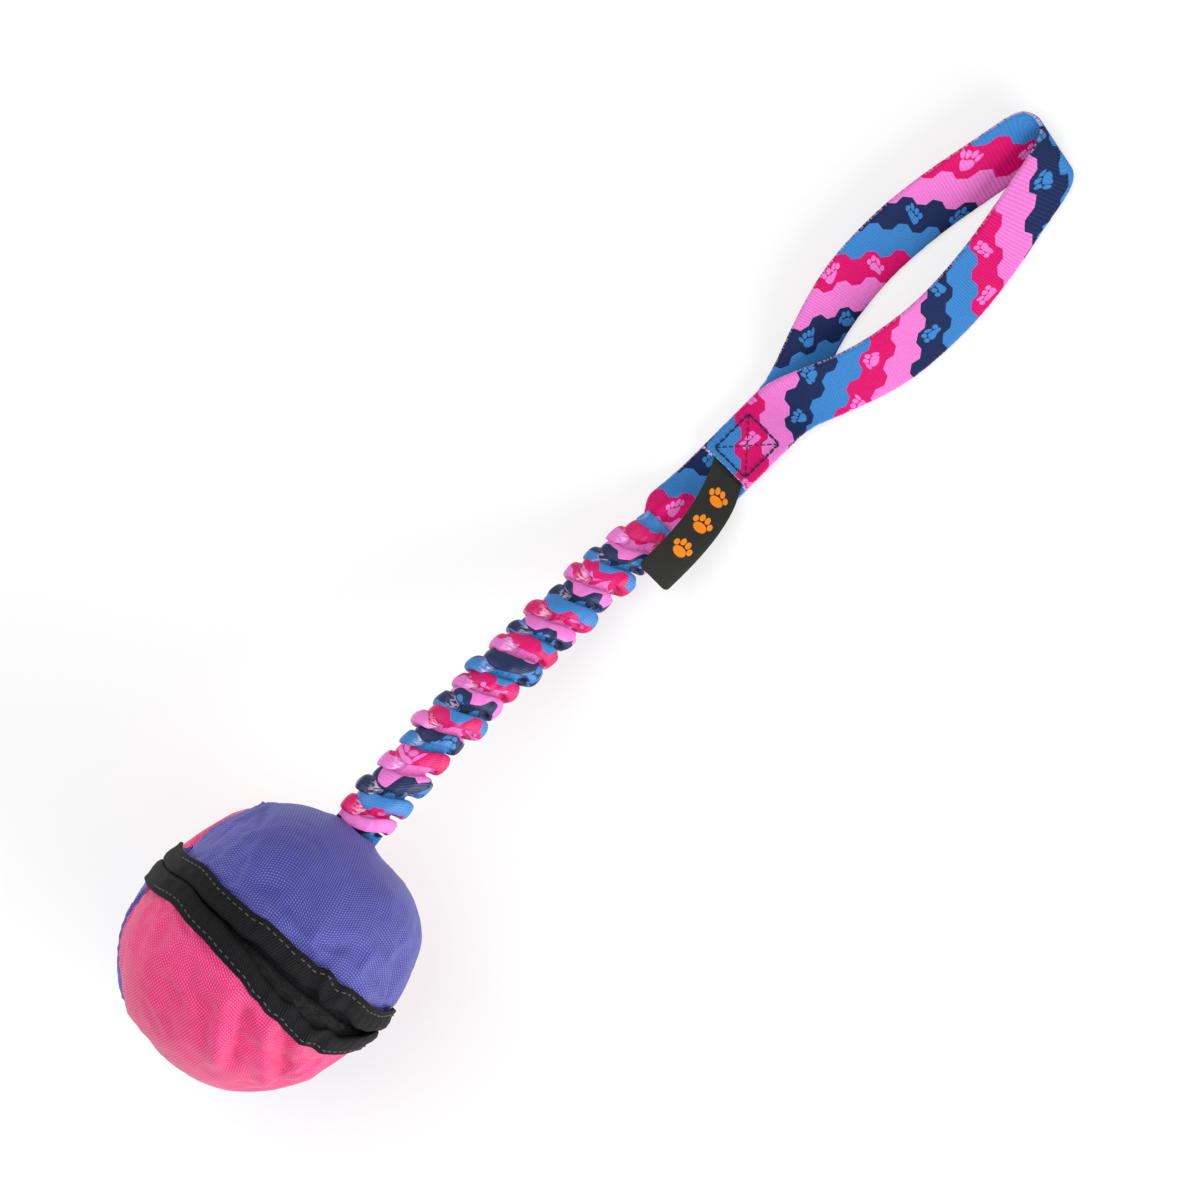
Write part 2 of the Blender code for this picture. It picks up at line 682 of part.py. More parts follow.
LABEL_PIVOT = TOY_MIDDLE + Vector(
    (STRAP_CUT_X - CLEARANCE, LABEL_Y, WEBBING_THICKNESS + CLEARANCE + LABEL_THICKNESS / 2)
)


def label_point(share):
    """A point of the label's middle line, from its sewn edge up over the neck and the sleeve's end."""
    share_of_sleeve = (LABEL_PIVOT.x - LABEL_RUN - SLEEVE_START.x) / (SLEEVE_END.x - SLEEVE_START.x)
    top = bungee_point(share_of_sleeve).z + SLEEVE_RIDGE_HALF_HEIGHT
    end = Vector(
        (LABEL_PIVOT.x - LABEL_RUN, LABEL_Y + LABEL_DRIFT, top + LABEL_OVER_FOLD + LABEL_THICKNESS / 2)
    )
    rise = (end.z - LABEL_PIVOT.z) * LABEL_RISE_PULL_SHARE
    start_pull = Vector((-LABEL_RUN, 0.0, rise))
    end_pull = Vector((-LABEL_RUN, LABEL_DRIFT, 0.0)) * LABEL_END_PULL_SHARE
    return curve_point(LABEL_PIVOT, start_pull, end, end_pull, share)


def build_label(pivot):
    """The woven label, a flap that is free all along but at its sewn edge."""
    rings = []
    for share in spread(0.0, 1.0, LABEL_STATIONS):
        step = 1e-4
        along = (label_point(share + step) - label_point(share - step)).normalized()
        across = Vector((0.0, 1.0, 0.0))
        if share > 0.0:
            across = UP.cross(along).normalized()
            across *= math.copysign(1.0, across.y)
        normal = along.cross(across).normalized()
        half_width = across * (LABEL_WIDTH / 2)
        rings.append(ribbon_ring(label_point(share), half_width, normal * (LABEL_THICKNESS / 2)))
    hang(swept_solid("label", rings, SATIN), pivot)


def build_floor_cutter():
    """A block under the floor, which cuts the ball's rest flat."""
    size = Vector([4 * BALL_RADIUS] * 3)
    block = box_solid("floor_block", size, BLACK)
    block.location = (0.0, 0.0, -size.z / 2)
    return make_cutter(block)


def main():
    """Builds the toy."""
    for item in list(bpy.data.objects):
        bpy.data.objects.remove(item)
    hinge_point = BALL @ Vector((0.0, 0.0, -BALL_RADIUS))
    fold_point = TOY_MIDDLE + Vector((FOLD_X, STRAP_Y, STACK_TOP))
    ball = make_pivot("ball_frame", BALL)
    mouth = make_pivot("mouth_hinge", Matrix.Translation(hinge_point) @ BALL.to_3x3().to_4x4())
    bungee = make_pivot("bungee_hinge", Matrix.Translation(BUNGEE_PIVOT))
    neck = make_pivot("neck_slide", Matrix.Translation(SLEEVE_END))
    fold = make_pivot("loop_hinge", Matrix.Translation(fold_point))
    label = make_pivot("label_hinge", Matrix.Translation(LABEL_PIVOT))

    upper = build_ball_half("upper", 1, (PURPLE, PINK), ball)
    lower = build_ball_half("lower", -1, (PINK, PURPLE), mouth)
    build_lip("upper", 1, "hook_tape", HOOKS, ball)
    build_lip("lower", -1, "loop_tape", LOOPS, mouth)
    slot = build_tab(ball)
    for item in upper:
        if not item.name.startswith("lining"):
            cut(item, slot)
    floor = build_floor_cutter()
    for item in upper + lower:
        if item.name.startswith("panel"):
            cut(item, floor)
    build_sleeve(bungee)
    build_neck(neck)
    build_strap_end(neck)
    build_box_stitch(neck)
    build_loop(fold)
    build_label(label)
    pole_line = BALL.to_3x3() @ Vector((0.0, 1.0, 0.0))
    print("mouth hinge", tuple(round(v, 6) for v in hinge_point), tuple(round(v, 6) for v in pole_line))
    for pivot in (bungee, neck, fold, label):
        print(pivot.name, tuple(round(v, 6) for v in pivot.location))


main()
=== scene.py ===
"""Looks of a bungee tug toy: a padded ball with a taped mouth, a gathered bungee and a hand loop.

Metres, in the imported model's own frame: +X from the ball to the hand loop, +Z up.
"""

import logging
import math
from collections.abc import Sequence
from dataclasses import dataclass
from enum import Enum

import bmesh
import bpy
import numpy as np
from mathutils import Matrix, Vector


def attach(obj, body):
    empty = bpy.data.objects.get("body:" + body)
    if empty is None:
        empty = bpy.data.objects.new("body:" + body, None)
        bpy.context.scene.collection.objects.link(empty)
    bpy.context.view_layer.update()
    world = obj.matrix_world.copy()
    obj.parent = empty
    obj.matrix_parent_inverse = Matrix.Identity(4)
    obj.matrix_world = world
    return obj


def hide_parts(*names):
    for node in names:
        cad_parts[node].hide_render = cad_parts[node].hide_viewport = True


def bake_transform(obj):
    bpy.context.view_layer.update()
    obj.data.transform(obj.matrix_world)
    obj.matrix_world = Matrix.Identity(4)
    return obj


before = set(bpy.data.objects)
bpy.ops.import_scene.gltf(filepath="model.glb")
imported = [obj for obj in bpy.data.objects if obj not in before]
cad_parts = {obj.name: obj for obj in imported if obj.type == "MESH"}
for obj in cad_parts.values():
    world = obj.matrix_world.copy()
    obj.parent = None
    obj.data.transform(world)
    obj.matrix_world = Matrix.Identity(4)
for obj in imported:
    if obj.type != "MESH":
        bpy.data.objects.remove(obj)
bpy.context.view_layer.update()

MM = 0.001
TURN = 2.0 * math.pi
X_AXIS, Y_AXIS, Z_AXIS = np.eye(3)
WHITE = (1.0, 1.0, 1.0)
Array = np.ndarray
Colour = tuple[float, float, float]
Piece = bpy.types.Object
log = logging.getLogger("tug_toy")


class Named(Enum):
    """A choice that pieces are named after."""

    @property
    def word(self) -> str:
        """The choice in small letters."""
        return self.name.lower()


class Side(Named):
    """The two halves of the ball, by the sign of their own X."""

    UPPER = 1
    LOWER = -1


class End(Named):
    """The two ends of the mouth, by the sign of the ball's own Y."""

    LEFT = 1
    RIGHT = -1


def smooth(share: Array | float) -> Array:
    """Eased share: 0 below 0, 1 above 1 and level at both."""
    share = np.clip(share, 0.0, 1.0)
    return share * share * (3.0 - 2.0 * share)


def hump(distance: Array | float, reach: float) -> Array:
    """A bell of height 1 that fades over a reach."""
    return np.exp(-((np.asarray(distance) / reach) ** 2))


def ripple(place: Array, wavelength: float, seed: int) -> Array:
    """A smooth and uneven wave, about 1 high.

    Args:
        place: Distances along the wave.
        wavelength: Its mean wavelength, in the same unit.
        seed: Which of many such waves it is.

    Returns:
        The wave's height at each place.
    """
    draw = np.random.default_rng(seed)
    total = np.zeros_like(place, dtype=float)
    for share in (1.0, 0.71, 1.63):
        total += np.sin(TURN * place / (wavelength * share) + draw.uniform(0, TURN))
    return total / math.sqrt(3.0)


def unit(vectors: Array) -> Array:
    """The same directions, each one long."""
    return vectors / np.maximum(np.linalg.norm(vectors, axis=-1, keepdims=True), 1e-12)


def lengths_along(points: Array) -> Array:
    """Distance from the first point to each, along the line that they make."""
    steps = np.linalg.norm(np.diff(points, axis=0), axis=1)
    return np.concatenate([[0.0], np.cumsum(steps)])


def points_along(line: Array, run: Array, places: Array) -> Array:
    """Points of a line, whose distances along it are the run, at some places of that run."""
    return np.stack([np.interp(places, run, line[:, k]) for k in range(3)], axis=-1)


def cubic(start: Array, start_pull: Array, end: Array, end_pull: Array, share: Array) -> Array:
    """Points of the cubic between two ends with a pull at each.

    Args:
        start: First end.
        start_pull: Pull at the first end.
        end: Second end.
        end_pull: Pull at the second end.
        share: Shares of the way between them.

    Returns:
        One point for each share.
    """
    s = np.atleast_1d(share)[:, None]
    s2, s3 = s**2, s**3
    ends = (2 * s3 - 3 * s2 + 1) * start + (3 * s2 - 2 * s3) * end
    return ends + (s3 - 2 * s2 + s) * start_pull + (s3 - s2) * end_pull


def grid_normals(points: Array) -> Array:
    """Unit normals of a grid of points, from its rows and columns."""
    down, across = np.gradient(points, axis=0), np.gradient(points, axis=1)
    return unit(np.cross(down, across))


def normals_towards(points: Array, outward: Array) -> Array:
    """Unit normals of a grid, each turned to the side that a direction names.

    Args:
        points: The grid.
        outward: A direction for each point.

    Returns:
        The normals.
    """
    normals = grid_normals(points)
    return normals * np.sign(np.sum(normals * outward, axis=-1, keepdims=True))


# Shader graphs


class Value:
    """A shader socket that Python's operators extend with nodes."""

    def __init__(self, graph: "Graph", socket: bpy.types.NodeSocket | None) -> None:
        """Keeps the graph and the socket that the value comes from."""
        self.graph = graph
        self.socket = socket

    def __add__(self, other: "Value | float") -> "Value":
        """Sum."""
        return self.graph.math("ADD", self, other)

    __radd__ = __add__

    def __sub__(self, other: "Value | float") -> "Value":
        """Difference."""
        return self.graph.math("SUBTRACT", self, other)

    def __rsub__(self, other: float) -> "Value":
        """Difference from a number."""
        return self.graph.math("SUBTRACT", other, self)

    def __mul__(self, other: "Value | float") -> "Value":
        """Product."""
        return self.graph.math("MULTIPLY", self, other)

    __rmul__ = __mul__

    def __truediv__(self, other: "Value | float") -> "Value":
        """Quotient."""
        return self.graph.math("DIVIDE", self, other)

    def __pow__(self, other: float) -> "Value":
        """Power."""
        return self.graph.math("POWER", self, other)

    def __gt__(self, other: "Value | float") -> "Value":
        """1 where this value is the greater, else 0."""
        return self.graph.math("GREATER_THAN", self, other)

    def floor(self) -> "Value":
        """Whole part."""
        return self.graph.math("FLOOR", self)

    def fract(self) -> "Value":
        """Part after the whole."""
        return self.graph.math("FRACT", self)

    def sine(self) -> "Value":
        """Sine."""
        return self.graph.math("SINE", self)

    def size(self) -> "Value":
        """Value without its sign."""
        return self.graph.math("ABSOLUTE", self)

    def most(self, other: "Value | float") -> "Value":
        """The greater of two."""
        return self.graph.math("MAXIMUM", self, other)

    def least(self, other: "Value | float") -> "Value":
        """The lesser of two."""
        return self.graph.math("MINIMUM", self, other)

    def eased(self, low: float, high: float) -> "Value":
        """0 below low, 1 above high and smooth between."""
        settings = {"interpolation_type": "SMOOTHSTEP"}
        values = {"Value": self, "From Min": low, "From Max": high}
        return self.graph.node("ShaderNodeMapRange", settings, values)

    def wave(self, length: float) -> "Value":
        """A sine wave of that length over the value, from 0 to 1."""
        return (self * (TURN / length)).sine() * 0.5 + 0.5


class Graph:
    """The node tree of one material, or of the world."""

    def __init__(self, name: str, world: bool = False) -> None:
        """Makes an empty material or world.

        Args:
            name: Its name.
            world: Whether it is a world.
        """
        self.owner = (bpy.data.worlds if world else bpy.data.materials).new(name)
        self.owner.use_nodes = True
        self.tree = self.owner.node_tree
        self.tree.nodes.clear()

    def node(self, kind: str, settings: dict, values: dict, output: int | str = 0) -> Value:
        """Adds a node.

        Args:
            kind: The node's type.
            settings: What is set on it first; stops and interpolation are those of its ramp.
            values: Its sockets' numbers, colours or links, by name or place.
            output: The socket that the value is read from.

        Returns:
            The value of that output.
        """
        made = self.tree.nodes.new(kind)
        for key, setting in settings.items():
            if key == "stops":
                self._set_stops(made.color_ramp, setting)
            elif key == "ramp":
                made.color_ramp.interpolation = setting
            else:
                setattr(made, key, setting)
        for key, value in values.items():
            if isinstance(value, Value):
                self.tree.links.new(value.socket, made.inputs[key])
            else:
                made.inputs[key].default_value = (*value, 1.0) if isinstance(value, tuple) else value
        return Value(self, made.outputs[output] if len(made.outputs) else None)

    @staticmethod
    def _set_stops(ramp: bpy.types.ColorRamp, stops: Sequence[tuple[float, Colour]]) -> None:
        """Gives a ramp its stops."""
        while len(ramp.elements) < len(stops):
            ramp.elements.new(0.5)
        for element, (place, colour) in zip(ramp.elements, stops):
            element.position = place
            element.color = (*colour, 1.0)

    def math(self, operation: str, *values: "Value | float") -> Value:
        """A Math node on one or two values."""
        return self.node("ShaderNodeMath", {"operation": operation}, dict(enumerate(values)))

    def mix(self, share: "Value | float", first: "Value | Colour", second: "Value | Colour") -> Value:
        """The first colour, turned to the second by a share."""
        return self.node("ShaderNodeMix", {"data_type": "RGBA"}, {0: share, 6: first, 7: second}, 2)

    def shaded(self, colour: "Value | Colour", light: Value) -> Value:
        """A colour made lighter or darker by a value about 1.

        Args:
            colour: The colour.
            light: What it is multiplied by.

        Returns:
            The shaded colour.
        """
        channels = dict.fromkeys(("Red", "Green", "Blue"), light)
        grey = self.node("ShaderNodeCombineColor", {}, channels)
        settings = {"data_type": "RGBA", "blend_type": "MULTIPLY"}
        return self.node("ShaderNodeMix", settings, {0: 1.0, 6: colour, 7: grey}, 2)

    def camera_rays(self) -> list[Value]:
        """1 for each way that the camera sees a place: straight, in a gloss and through glass."""
        keys = ("Is Camera Ray", "Is Glossy Ray", "Is Transmission Ray")
        return [self.node("ShaderNodeLightPath", {}, {}, key) for key in keys]

    def cloth_vector(self) -> Value:
        """The cloth's own flat coordinates, in metres."""
        return self.node("ShaderNodeUVMap", {"uv_map": "cloth"}, {})

    def cloth_coords(self) -> tuple[Value, Value]:
        """The two cloth coordinates, apart."""
        split = {"Vector": self.cloth_vector()}
        return tuple(self.node("ShaderNodeSeparateXYZ", {}, split, part) for part in "XY")

    def noise(self, wavelength: float, detail: float = 2.0) -> Value:
        """Uneven cloudiness over the cloth, from 0 to 1, of about that wavelength."""
        values = {"Vector": self.cloth_vector(), "Scale": 1.0 / wavelength, "Detail": detail}
        return self.node("ShaderNodeTexNoise", {"noise_dimensions": "3D"}, values)

    def relief(self, height: Value, distance: float, strength: float = 1.0) -> Value:
        """A normal that raises the surface by the height times the distance."""
        values = {"Height": height, "Distance": distance, "Strength": strength}
        return self.node("ShaderNodeBump", {}, values)

    def finish(
        self, colour: "Value | Colour", roughness: "Value | float", **constants: object
    ) -> bpy.types.Material:
        """Closes the graph with one surface.

        Args:
            colour: Base colour.
            roughness: Roughness.
            **constants: Any other socket of the surface, with underlines for spaces.

        Returns:
            The material.
        """
        values = {"Base Color": colour, "Roughness": roughness}
        values.update({key.replace("_", " "): value for key, value in constants.items()})
        surface = self.node("ShaderNodeBsdfPrincipled", {}, values)
        self.node("ShaderNodeOutputMaterial", {}, {"Surface": surface})
        return self.owner


# Finishes


@dataclass(frozen=True)
class BasketWeave:
    """Coarse basket-woven nylon, whose crossings show as rows of lighter dots."""

    name: str
    ground: Colour
    dot: Colour
    glow: Colour
    cell: float = 0.80 * MM
    stray: float = 0.25 * MM
    stray_length: float = 3.0 * MM
    wear_length: float = 16.0 * MM
    pit_shade: float = 0.28
    wear_shade: float = 0.28
    yarn_relief: float = 0.20 * MM
    roughness: float = 0.48
    pit_roughness: float = 0.15
    sheen: float = 0.30
    specular: float = 0.45

    def make(self) -> bpy.types.Material:
        """The material."""
        graph = Graph(self.name)
        u, v = graph.cloth_coords()
        stray = graph.noise(self.stray_length, 1.0) - 0.5
        bias = math.sqrt(0.5)
        places = [diagonal * bias + stray * self.stray for diagonal in (u + v, u - v)]
        across, along = ((place * (math.pi / self.cell)).sine() for place in places)
        crossing = across * along
        dots = crossing.eased(0.10, 0.80)
        worn = graph.noise(self.wear_length, 3.0)
        colour = graph.mix(dots * (0.55 + 0.45 * worn), self.ground, self.dot)
        # The pits are darkened: painted shade in the gaps between the yarns. The worn noise is random tone.
        pits = (crossing * -1.0).eased(0.35, 1.0)
        light = (1.0 - self.pit_shade * pits) * (0.86 + self.wear_shade * worn)
        height = crossing.size() ** 0.6
        return graph.finish(
            graph.shaded(colour, light),
            self.roughness + self.pit_roughness * pits,
            Normal=graph.relief(height, self.yarn_relief, 0.8),
            Sheen_Weight=self.sheen,
            Sheen_Roughness=0.42,
            Sheen_Tint=self.glow,
            Specular_IOR_Level=self.specular,
        )


@dataclass(frozen=True)
class RibbedTape:
    """Ribbed binding tape with fine slanted ribs."""

    name: str
    ground: Colour
    ridge: Colour
    pitch: float = 1.15 * MM
    slant_share: float = 0.35
    yarn: float = 0.45 * MM
    dust_and_sheen_length: float = 4.0 * MM
    rib_relief: float = 0.20 * MM
    roughness: float = 0.66
    specular: float = 0.12

    def make(self) -> bpy.types.Material:
        """The material."""
        graph = Graph(self.name)
        u, v = graph.cloth_coords()
        ribs = (u + self.slant_share * v).wave(self.pitch)
        dust_and_sheen = graph.noise(self.dust_and_sheen_length, 4.0)
        # The rib tops turn to the ridge colour: painted highlight that follows the bump, made patchy by a noise.
        colour = graph.mix(ribs**2.0 * (0.35 + 0.65 * dust_and_sheen), self.ground, self.ridge)
        relief = graph.relief(ribs + 0.25 * v.wave(self.yarn), self.rib_relief)
        return graph.finish(colour, self.roughness, Normal=relief, Specular_IOR_Level=self.specular)


@dataclass(frozen=True)
class BandPrint:
    """Twill printed in slanted bands of four colours with wavy borders and small paw marks."""

    name: str
    navy: Colour = (0.006, 0.017, 0.077)
    orchid: Colour = (0.77, 0.178, 0.57)
    magenta: Colour = (0.63, 0.001, 0.130)
    sky: Colour = (0.038, 0.200, 0.52)
    selvedge: Colour = (0.74, 0.46, 0.70)
    band: float = 15.5 * MM
    slant_share: float = 1.0
    start: float = 0.0
    wave: float = 1.9 * MM
    wavelength: float = 12.5 * MM
    steepness: float = 1.7
    wander: float = 1.6 * MM
    wander_length: float = 9.0 * MM
    half_width: float = 12.5 * MM
    selvedge_width: float = 0.7 * MM
    speck: float = 0.9 * MM
    rib: float = 1.05 * MM
    rib_relief: float = 0.16 * MM
    twill: float = 0.62 * MM
    cloud_length: float = 12.0 * MM
    paw_spacing: float = 19.0 * MM
    paw_size: float = 2.45 * MM
    paw_step: float = 0.37
    sheen: float = 0.03
    specular: float = 0.13
    roughness: float = 0.62

    def make(self) -> bpy.types.Material:
        """The material."""
        graph = Graph(self.name)
        u, v = graph.cloth_coords()
        tilt = math.hypot(1.0, self.slant_share)
        beside = (v - self.slant_share * u) * (1.0 / tilt)
        wander = (graph.noise(self.wander_length, 0.0) - 0.5) * self.wander
        swing = (beside * (TURN / self.wavelength)).sine() * self.steepness
        zigzag = swing.most(-1.0).least(1.0)
        place = (u + self.slant_share * v + zigzag * self.wave + wander + self.start) / self.band
        stops = [(0.0, self.navy), (0.25, self.orchid), (0.5, self.magenta), (0.75, self.sky)]
        ramp = {"ramp": "CONSTANT", "stops": stops}
        colour = graph.node("ShaderNodeValToRGB", ramp, {"Fac": (place * 0.25).fract()})
        colour = self._with_paws(graph, colour, place, beside, tilt)
        edge = v.size().eased(self.half_width - self.selvedge_width, self.half_width)
        speck = graph.noise(self.speck, 1.0).eased(0.42, 0.60)
        colour = graph.mix(edge * speck * 0.7, colour, self.selvedge)
        ribs, twill = u.wave(self.rib), (u + v).wave(self.twill)
        cloud = graph.noise(self.cloud_length, 3.0)
        # The ribs and twill lines shade the print: painted shade and highlight that follow the bump. The cloud is
        # random tone.
        light = 0.80 + 0.14 * ribs + 0.10 * twill + 0.16 * cloud - 0.06
        height = ribs + 0.45 * twill
        return graph.finish(
            graph.shaded(colour, light),
            self.roughness,
            Normal=graph.relief(height, self.rib_relief, 0.9),
            Sheen_Weight=self.sheen,
            Sheen_Roughness=0.35,
            Specular_IOR_Level=self.specular,
        )

    def _with_paws(
        self, graph: Graph, colour: Value, place: Value, beside: Value, tilt: float
    ) -> Value:
        """Adds a paw mark here and there in the navy and magenta bands.

        Args:
            graph: The material's graph.
            colour: The bands' colours.
            place: Place across the bands, in bands.
            beside: Distance along the bands.
            tilt: Length of the slanted step across the bands.

        Returns:
            The colours with the marks.
        """
        across = (place.fract() - 0.5) * (self.band / tilt)
        number = place.floor()
        along = beside / self.paw_spacing + number * self.paw_step
        x = (along.fract() - 0.5) * self.paw_spacing
        mark = paw_mark(x, across, self.paw_size)
        even = ((number * 0.5).fract() * -1.0 + 0.25) > 0.0
        navy = (0.5 - (place * 0.25).fract()) > 0.0
        tone = graph.mix(navy, self.orchid, self.sky)
        return graph.mix(mark * even, colour, tone)


PAW_PADS = (
    (0.0, -0.35, 1.0, 0.72),
    (-1.15, 0.45, 0.38, 0.5),
    (-0.42, 1.05, 0.38, 0.55),
    (0.42, 1.05, 0.38, 0.55),
    (1.15, 0.45, 0.38, 0.5),
)


def paw_mark(x: Value, y: Value, size: float) -> Value:
    """A plain paw mark: one large pad and four small ones.

    Args:
        x: Distance from the mark's middle across its toes.
        y: Distance from the mark's middle towards its toes.
        size: The large pad's half width.

    Returns:
        1 inside the mark and 0 outside.
    """
    mark = None
    for middle_x, middle_y, wide, high in PAW_PADS:
        far_x = ((x - middle_x * size) / (wide * size)) ** 2.0
        far_y = ((y - middle_y * size) / (high * size)) ** 2.0
        pad = (1.0 - (far_x + far_y)).eased(-0.15, 0.15)
        mark = pad if mark is None else mark.most(pad)
    return mark


@dataclass(frozen=True)
class Thread:
    """Twisted sewing thread."""

    name: str
    colour: Colour
    pale: Colour
    twist: float = 0.8 * MM
    twist_relief: float = 0.08 * MM
    fuzz: float = 0.5 * MM
    roughness: float = 0.55
    sheen: float = 0.15
    specular: float = 0.2

    def make(self) -> bpy.types.Material:
        """The material."""
        graph = Graph(self.name)
        u, v = graph.cloth_coords()
        ply = (u + v).wave(self.twist)
        fuzz = graph.noise(self.fuzz, 2.0)
        return graph.finish(
            # The plies turn to the pale colour: painted highlight on the twist's tops, which also make the bump. The
            # fuzz noise is random tone.
            graph.mix(ply * 0.6 + fuzz * 0.3, self.colour, self.pale),
            self.roughness,
            Normal=graph.relief(ply, self.twist_relief),
            Sheen_Weight=self.sheen,
            Specular_IOR_Level=self.specular,
        )


@dataclass(frozen=True)
class Satin:
    """Dark woven satin with small orange paw marks."""

    name: str
    ground: Colour = (0.017, 0.018, 0.015)
    ink: Colour = (0.82, 0.23, 0.010)
    marks: int = 3
    mark_spacing: float = 13.0 * MM
    mark_size: float = 2.9 * MM
    first_mark: float = 7.0 * MM
    yarn: float = 0.38 * MM
    pick: float = 0.9 * MM
    cloud_length: float = 7.0 * MM
    yarn_relief: float = 0.07 * MM
    roughness: float = 0.46
    sheen: float = 0.01
    specular: float = 0.14

    def make(self) -> bpy.types.Material:
        """The material."""
        graph = Graph(self.name)
        u, v = graph.cloth_coords()
        x = (((u - self.first_mark) / self.mark_spacing).fract() - 0.5) * self.mark_spacing
        last = self.first_mark + self.marks * self.mark_spacing
        inside = (u > self.first_mark) * (1.0 - (u > last))
        mark = paw_mark(v, x * -1.0, self.mark_size) * inside
        yarn, pick = v.wave(self.yarn), (u * 2.0 + v).wave(self.pick)
        cloud = graph.noise(self.cloud_length, 2.0)
        # The yarns lighten the satin: painted highlight that follows the bump. The cloud is random tone.
        light = 0.86 + 0.14 * yarn + 0.18 * cloud
        height = yarn * 0.6 + pick * 0.3 + mark * 1.2
        return graph.finish(
            graph.shaded(graph.mix(mark, self.ground, self.ink), light),
            self.roughness + 0.2 * mark,
            Normal=graph.relief(height, self.yarn_relief),
            Sheen_Weight=self.sheen,
            Specular_IOR_Level=self.specular,
        )


@dataclass(frozen=True)
class Fleece:
    """Matted or porous cloth: loop tape, hook tape, lining and padding."""

    name: str
    dark: Colour
    pale: Colour
    grain: float = 0.7 * MM
    depth: float = 0.4 * MM
    roughness: float = 0.9
    sheen: float = 0.3
    specular: float = 0.2

    def make(self) -> bpy.types.Material:
        """The material."""
        graph = Graph(self.name)
        fine = graph.noise(self.grain, 4.0)
        cloud = graph.noise(8.0 * self.grain, 2.0)
        return graph.finish(
            # The fine noise pales the nap where it raises it in the bump: partly painted highlight on the raised
            # fibres and partly random tone. The cloud is random tone.
            graph.mix(fine * 0.7 + cloud * 0.3, self.dark, self.pale),
            self.roughness,
            Normal=graph.relief(fine, self.depth),
            Sheen_Weight=self.sheen,
            Specular_IOR_Level=self.specular,
        )


@dataclass(frozen=True)
class Elastic:
    """Braided white elastic."""

    name: str = "braided_elastic"
    # The dark colour is painted shade in the braid's grooves and the pale one painted highlight on its ridges; the
    # elastic itself is white.
    dark: Colour = (0.55, 0.55, 0.52)
    pale: Colour = (0.82, 0.82, 0.80)
    pitch: float = 1.2 * MM
    braid_relief: float = 0.2 * MM
    roughness: float = 0.6
    sheen: float = 0.2

    def make(self) -> bpy.types.Material:
        """The material."""
        graph = Graph(self.name)
        u, v = graph.cloth_coords()
        one, other = ((place * (TURN / self.pitch)).sine() for place in (u + v, u - v))
        braid = (one * other) * 0.5 + 0.5
        # The braid's low places are darker and its high ones paler: painted shade and highlight that follow the bump.
        colour = graph.mix(braid, self.dark, self.pale)
        relief = graph.relief(braid, self.braid_relief)
        return graph.finish(colour, self.roughness, Normal=relief, Sheen_Weight=self.sheen)


class Wardrobe:
    """Every finish of the toy, made once."""

    def __init__(self) -> None:
        """Makes the materials."""
        self.purple = BasketWeave(
            "purple_weave",
            ground=(0.028, 0.026, 0.250),
            dot=(0.190, 0.195, 0.58),
            glow=(0.45, 0.46, 1.0),
        ).make()
        self.pink = BasketWeave(
            "pink_weave",
            ground=(0.72, 0.012, 0.145),
            dot=(0.86, 0.160, 0.385),
            glow=(1.0, 0.50, 0.72),
        ).make()
        # Ridge colour: painted highlight on the binding's rib tops; the ground is the tape's own black.
        self.binding = RibbedTape(
            "binding_tape", ground=(0.0018, 0.0018, 0.0023), ridge=(0.013, 0.013, 0.015)
        ).make()
        self.webbing = BandPrint("printed_webbing", start=4.0 * MM).make()
        self.sleeve = BandPrint(
            "printed_sleeve",
            selvedge=(0.80, 0.62, 0.84),
            slant_share=0.04,
            start=35.4 * MM,
            wave=1.8 * MM,
            wavelength=10.0 * MM,
            wander=6.0 * MM,
            half_width=29.0 * MM,
            selvedge_width=2.6 * MM,
            rib=0.9 * MM,
            rib_relief=0.07 * MM,
            paw_spacing=24.0 * MM,
            paw_size=3.0 * MM,
            sheen=0.0,
            specular=0.28,
            roughness=0.36,
        ).make()
        self.grey_thread = Thread(
            "grey_sewing_thread", colour=(0.035, 0.035, 0.037), pale=(0.12, 0.12, 0.125)
        ).make()
        self.navy_thread = Thread(
            "navy_sewing_thread", colour=(0.003, 0.004, 0.028), pale=(0.014, 0.019, 0.085), sheen=0.03
        ).make()
        self.fray = Thread(
            "frayed_yarn", colour=(0.62, 0.45, 0.55), pale=(0.86, 0.72, 0.78)
        ).make()
        self.satin = Satin("label_satin").make()
        self.loops = Fleece(
            "loop_fleece", dark=(0.0008, 0.0008, 0.001), pale=(0.030, 0.030, 0.033), sheen=0.02
        ).make()
        self.hooks = Fleece(
            "hook_strip",
            dark=(0.002, 0.002, 0.003),
            pale=(0.012, 0.012, 0.014),
            roughness=0.6,
            sheen=0.0,
        ).make()
        self.lining = Fleece(
            "lining_cloth",
            dark=(0.010, 0.010, 0.012),
            pale=(0.032, 0.032, 0.035),
            grain=0.5 * MM,
            depth=0.1 * MM,
        ).make()
        self.padding = Fleece(
            "open_padding", dark=(0.52, 0.52, 0.50), pale=(0.82, 0.82, 0.80), grain=1.2 * MM
        ).make()
        self.elastic = Elastic().make()


# Mesh making


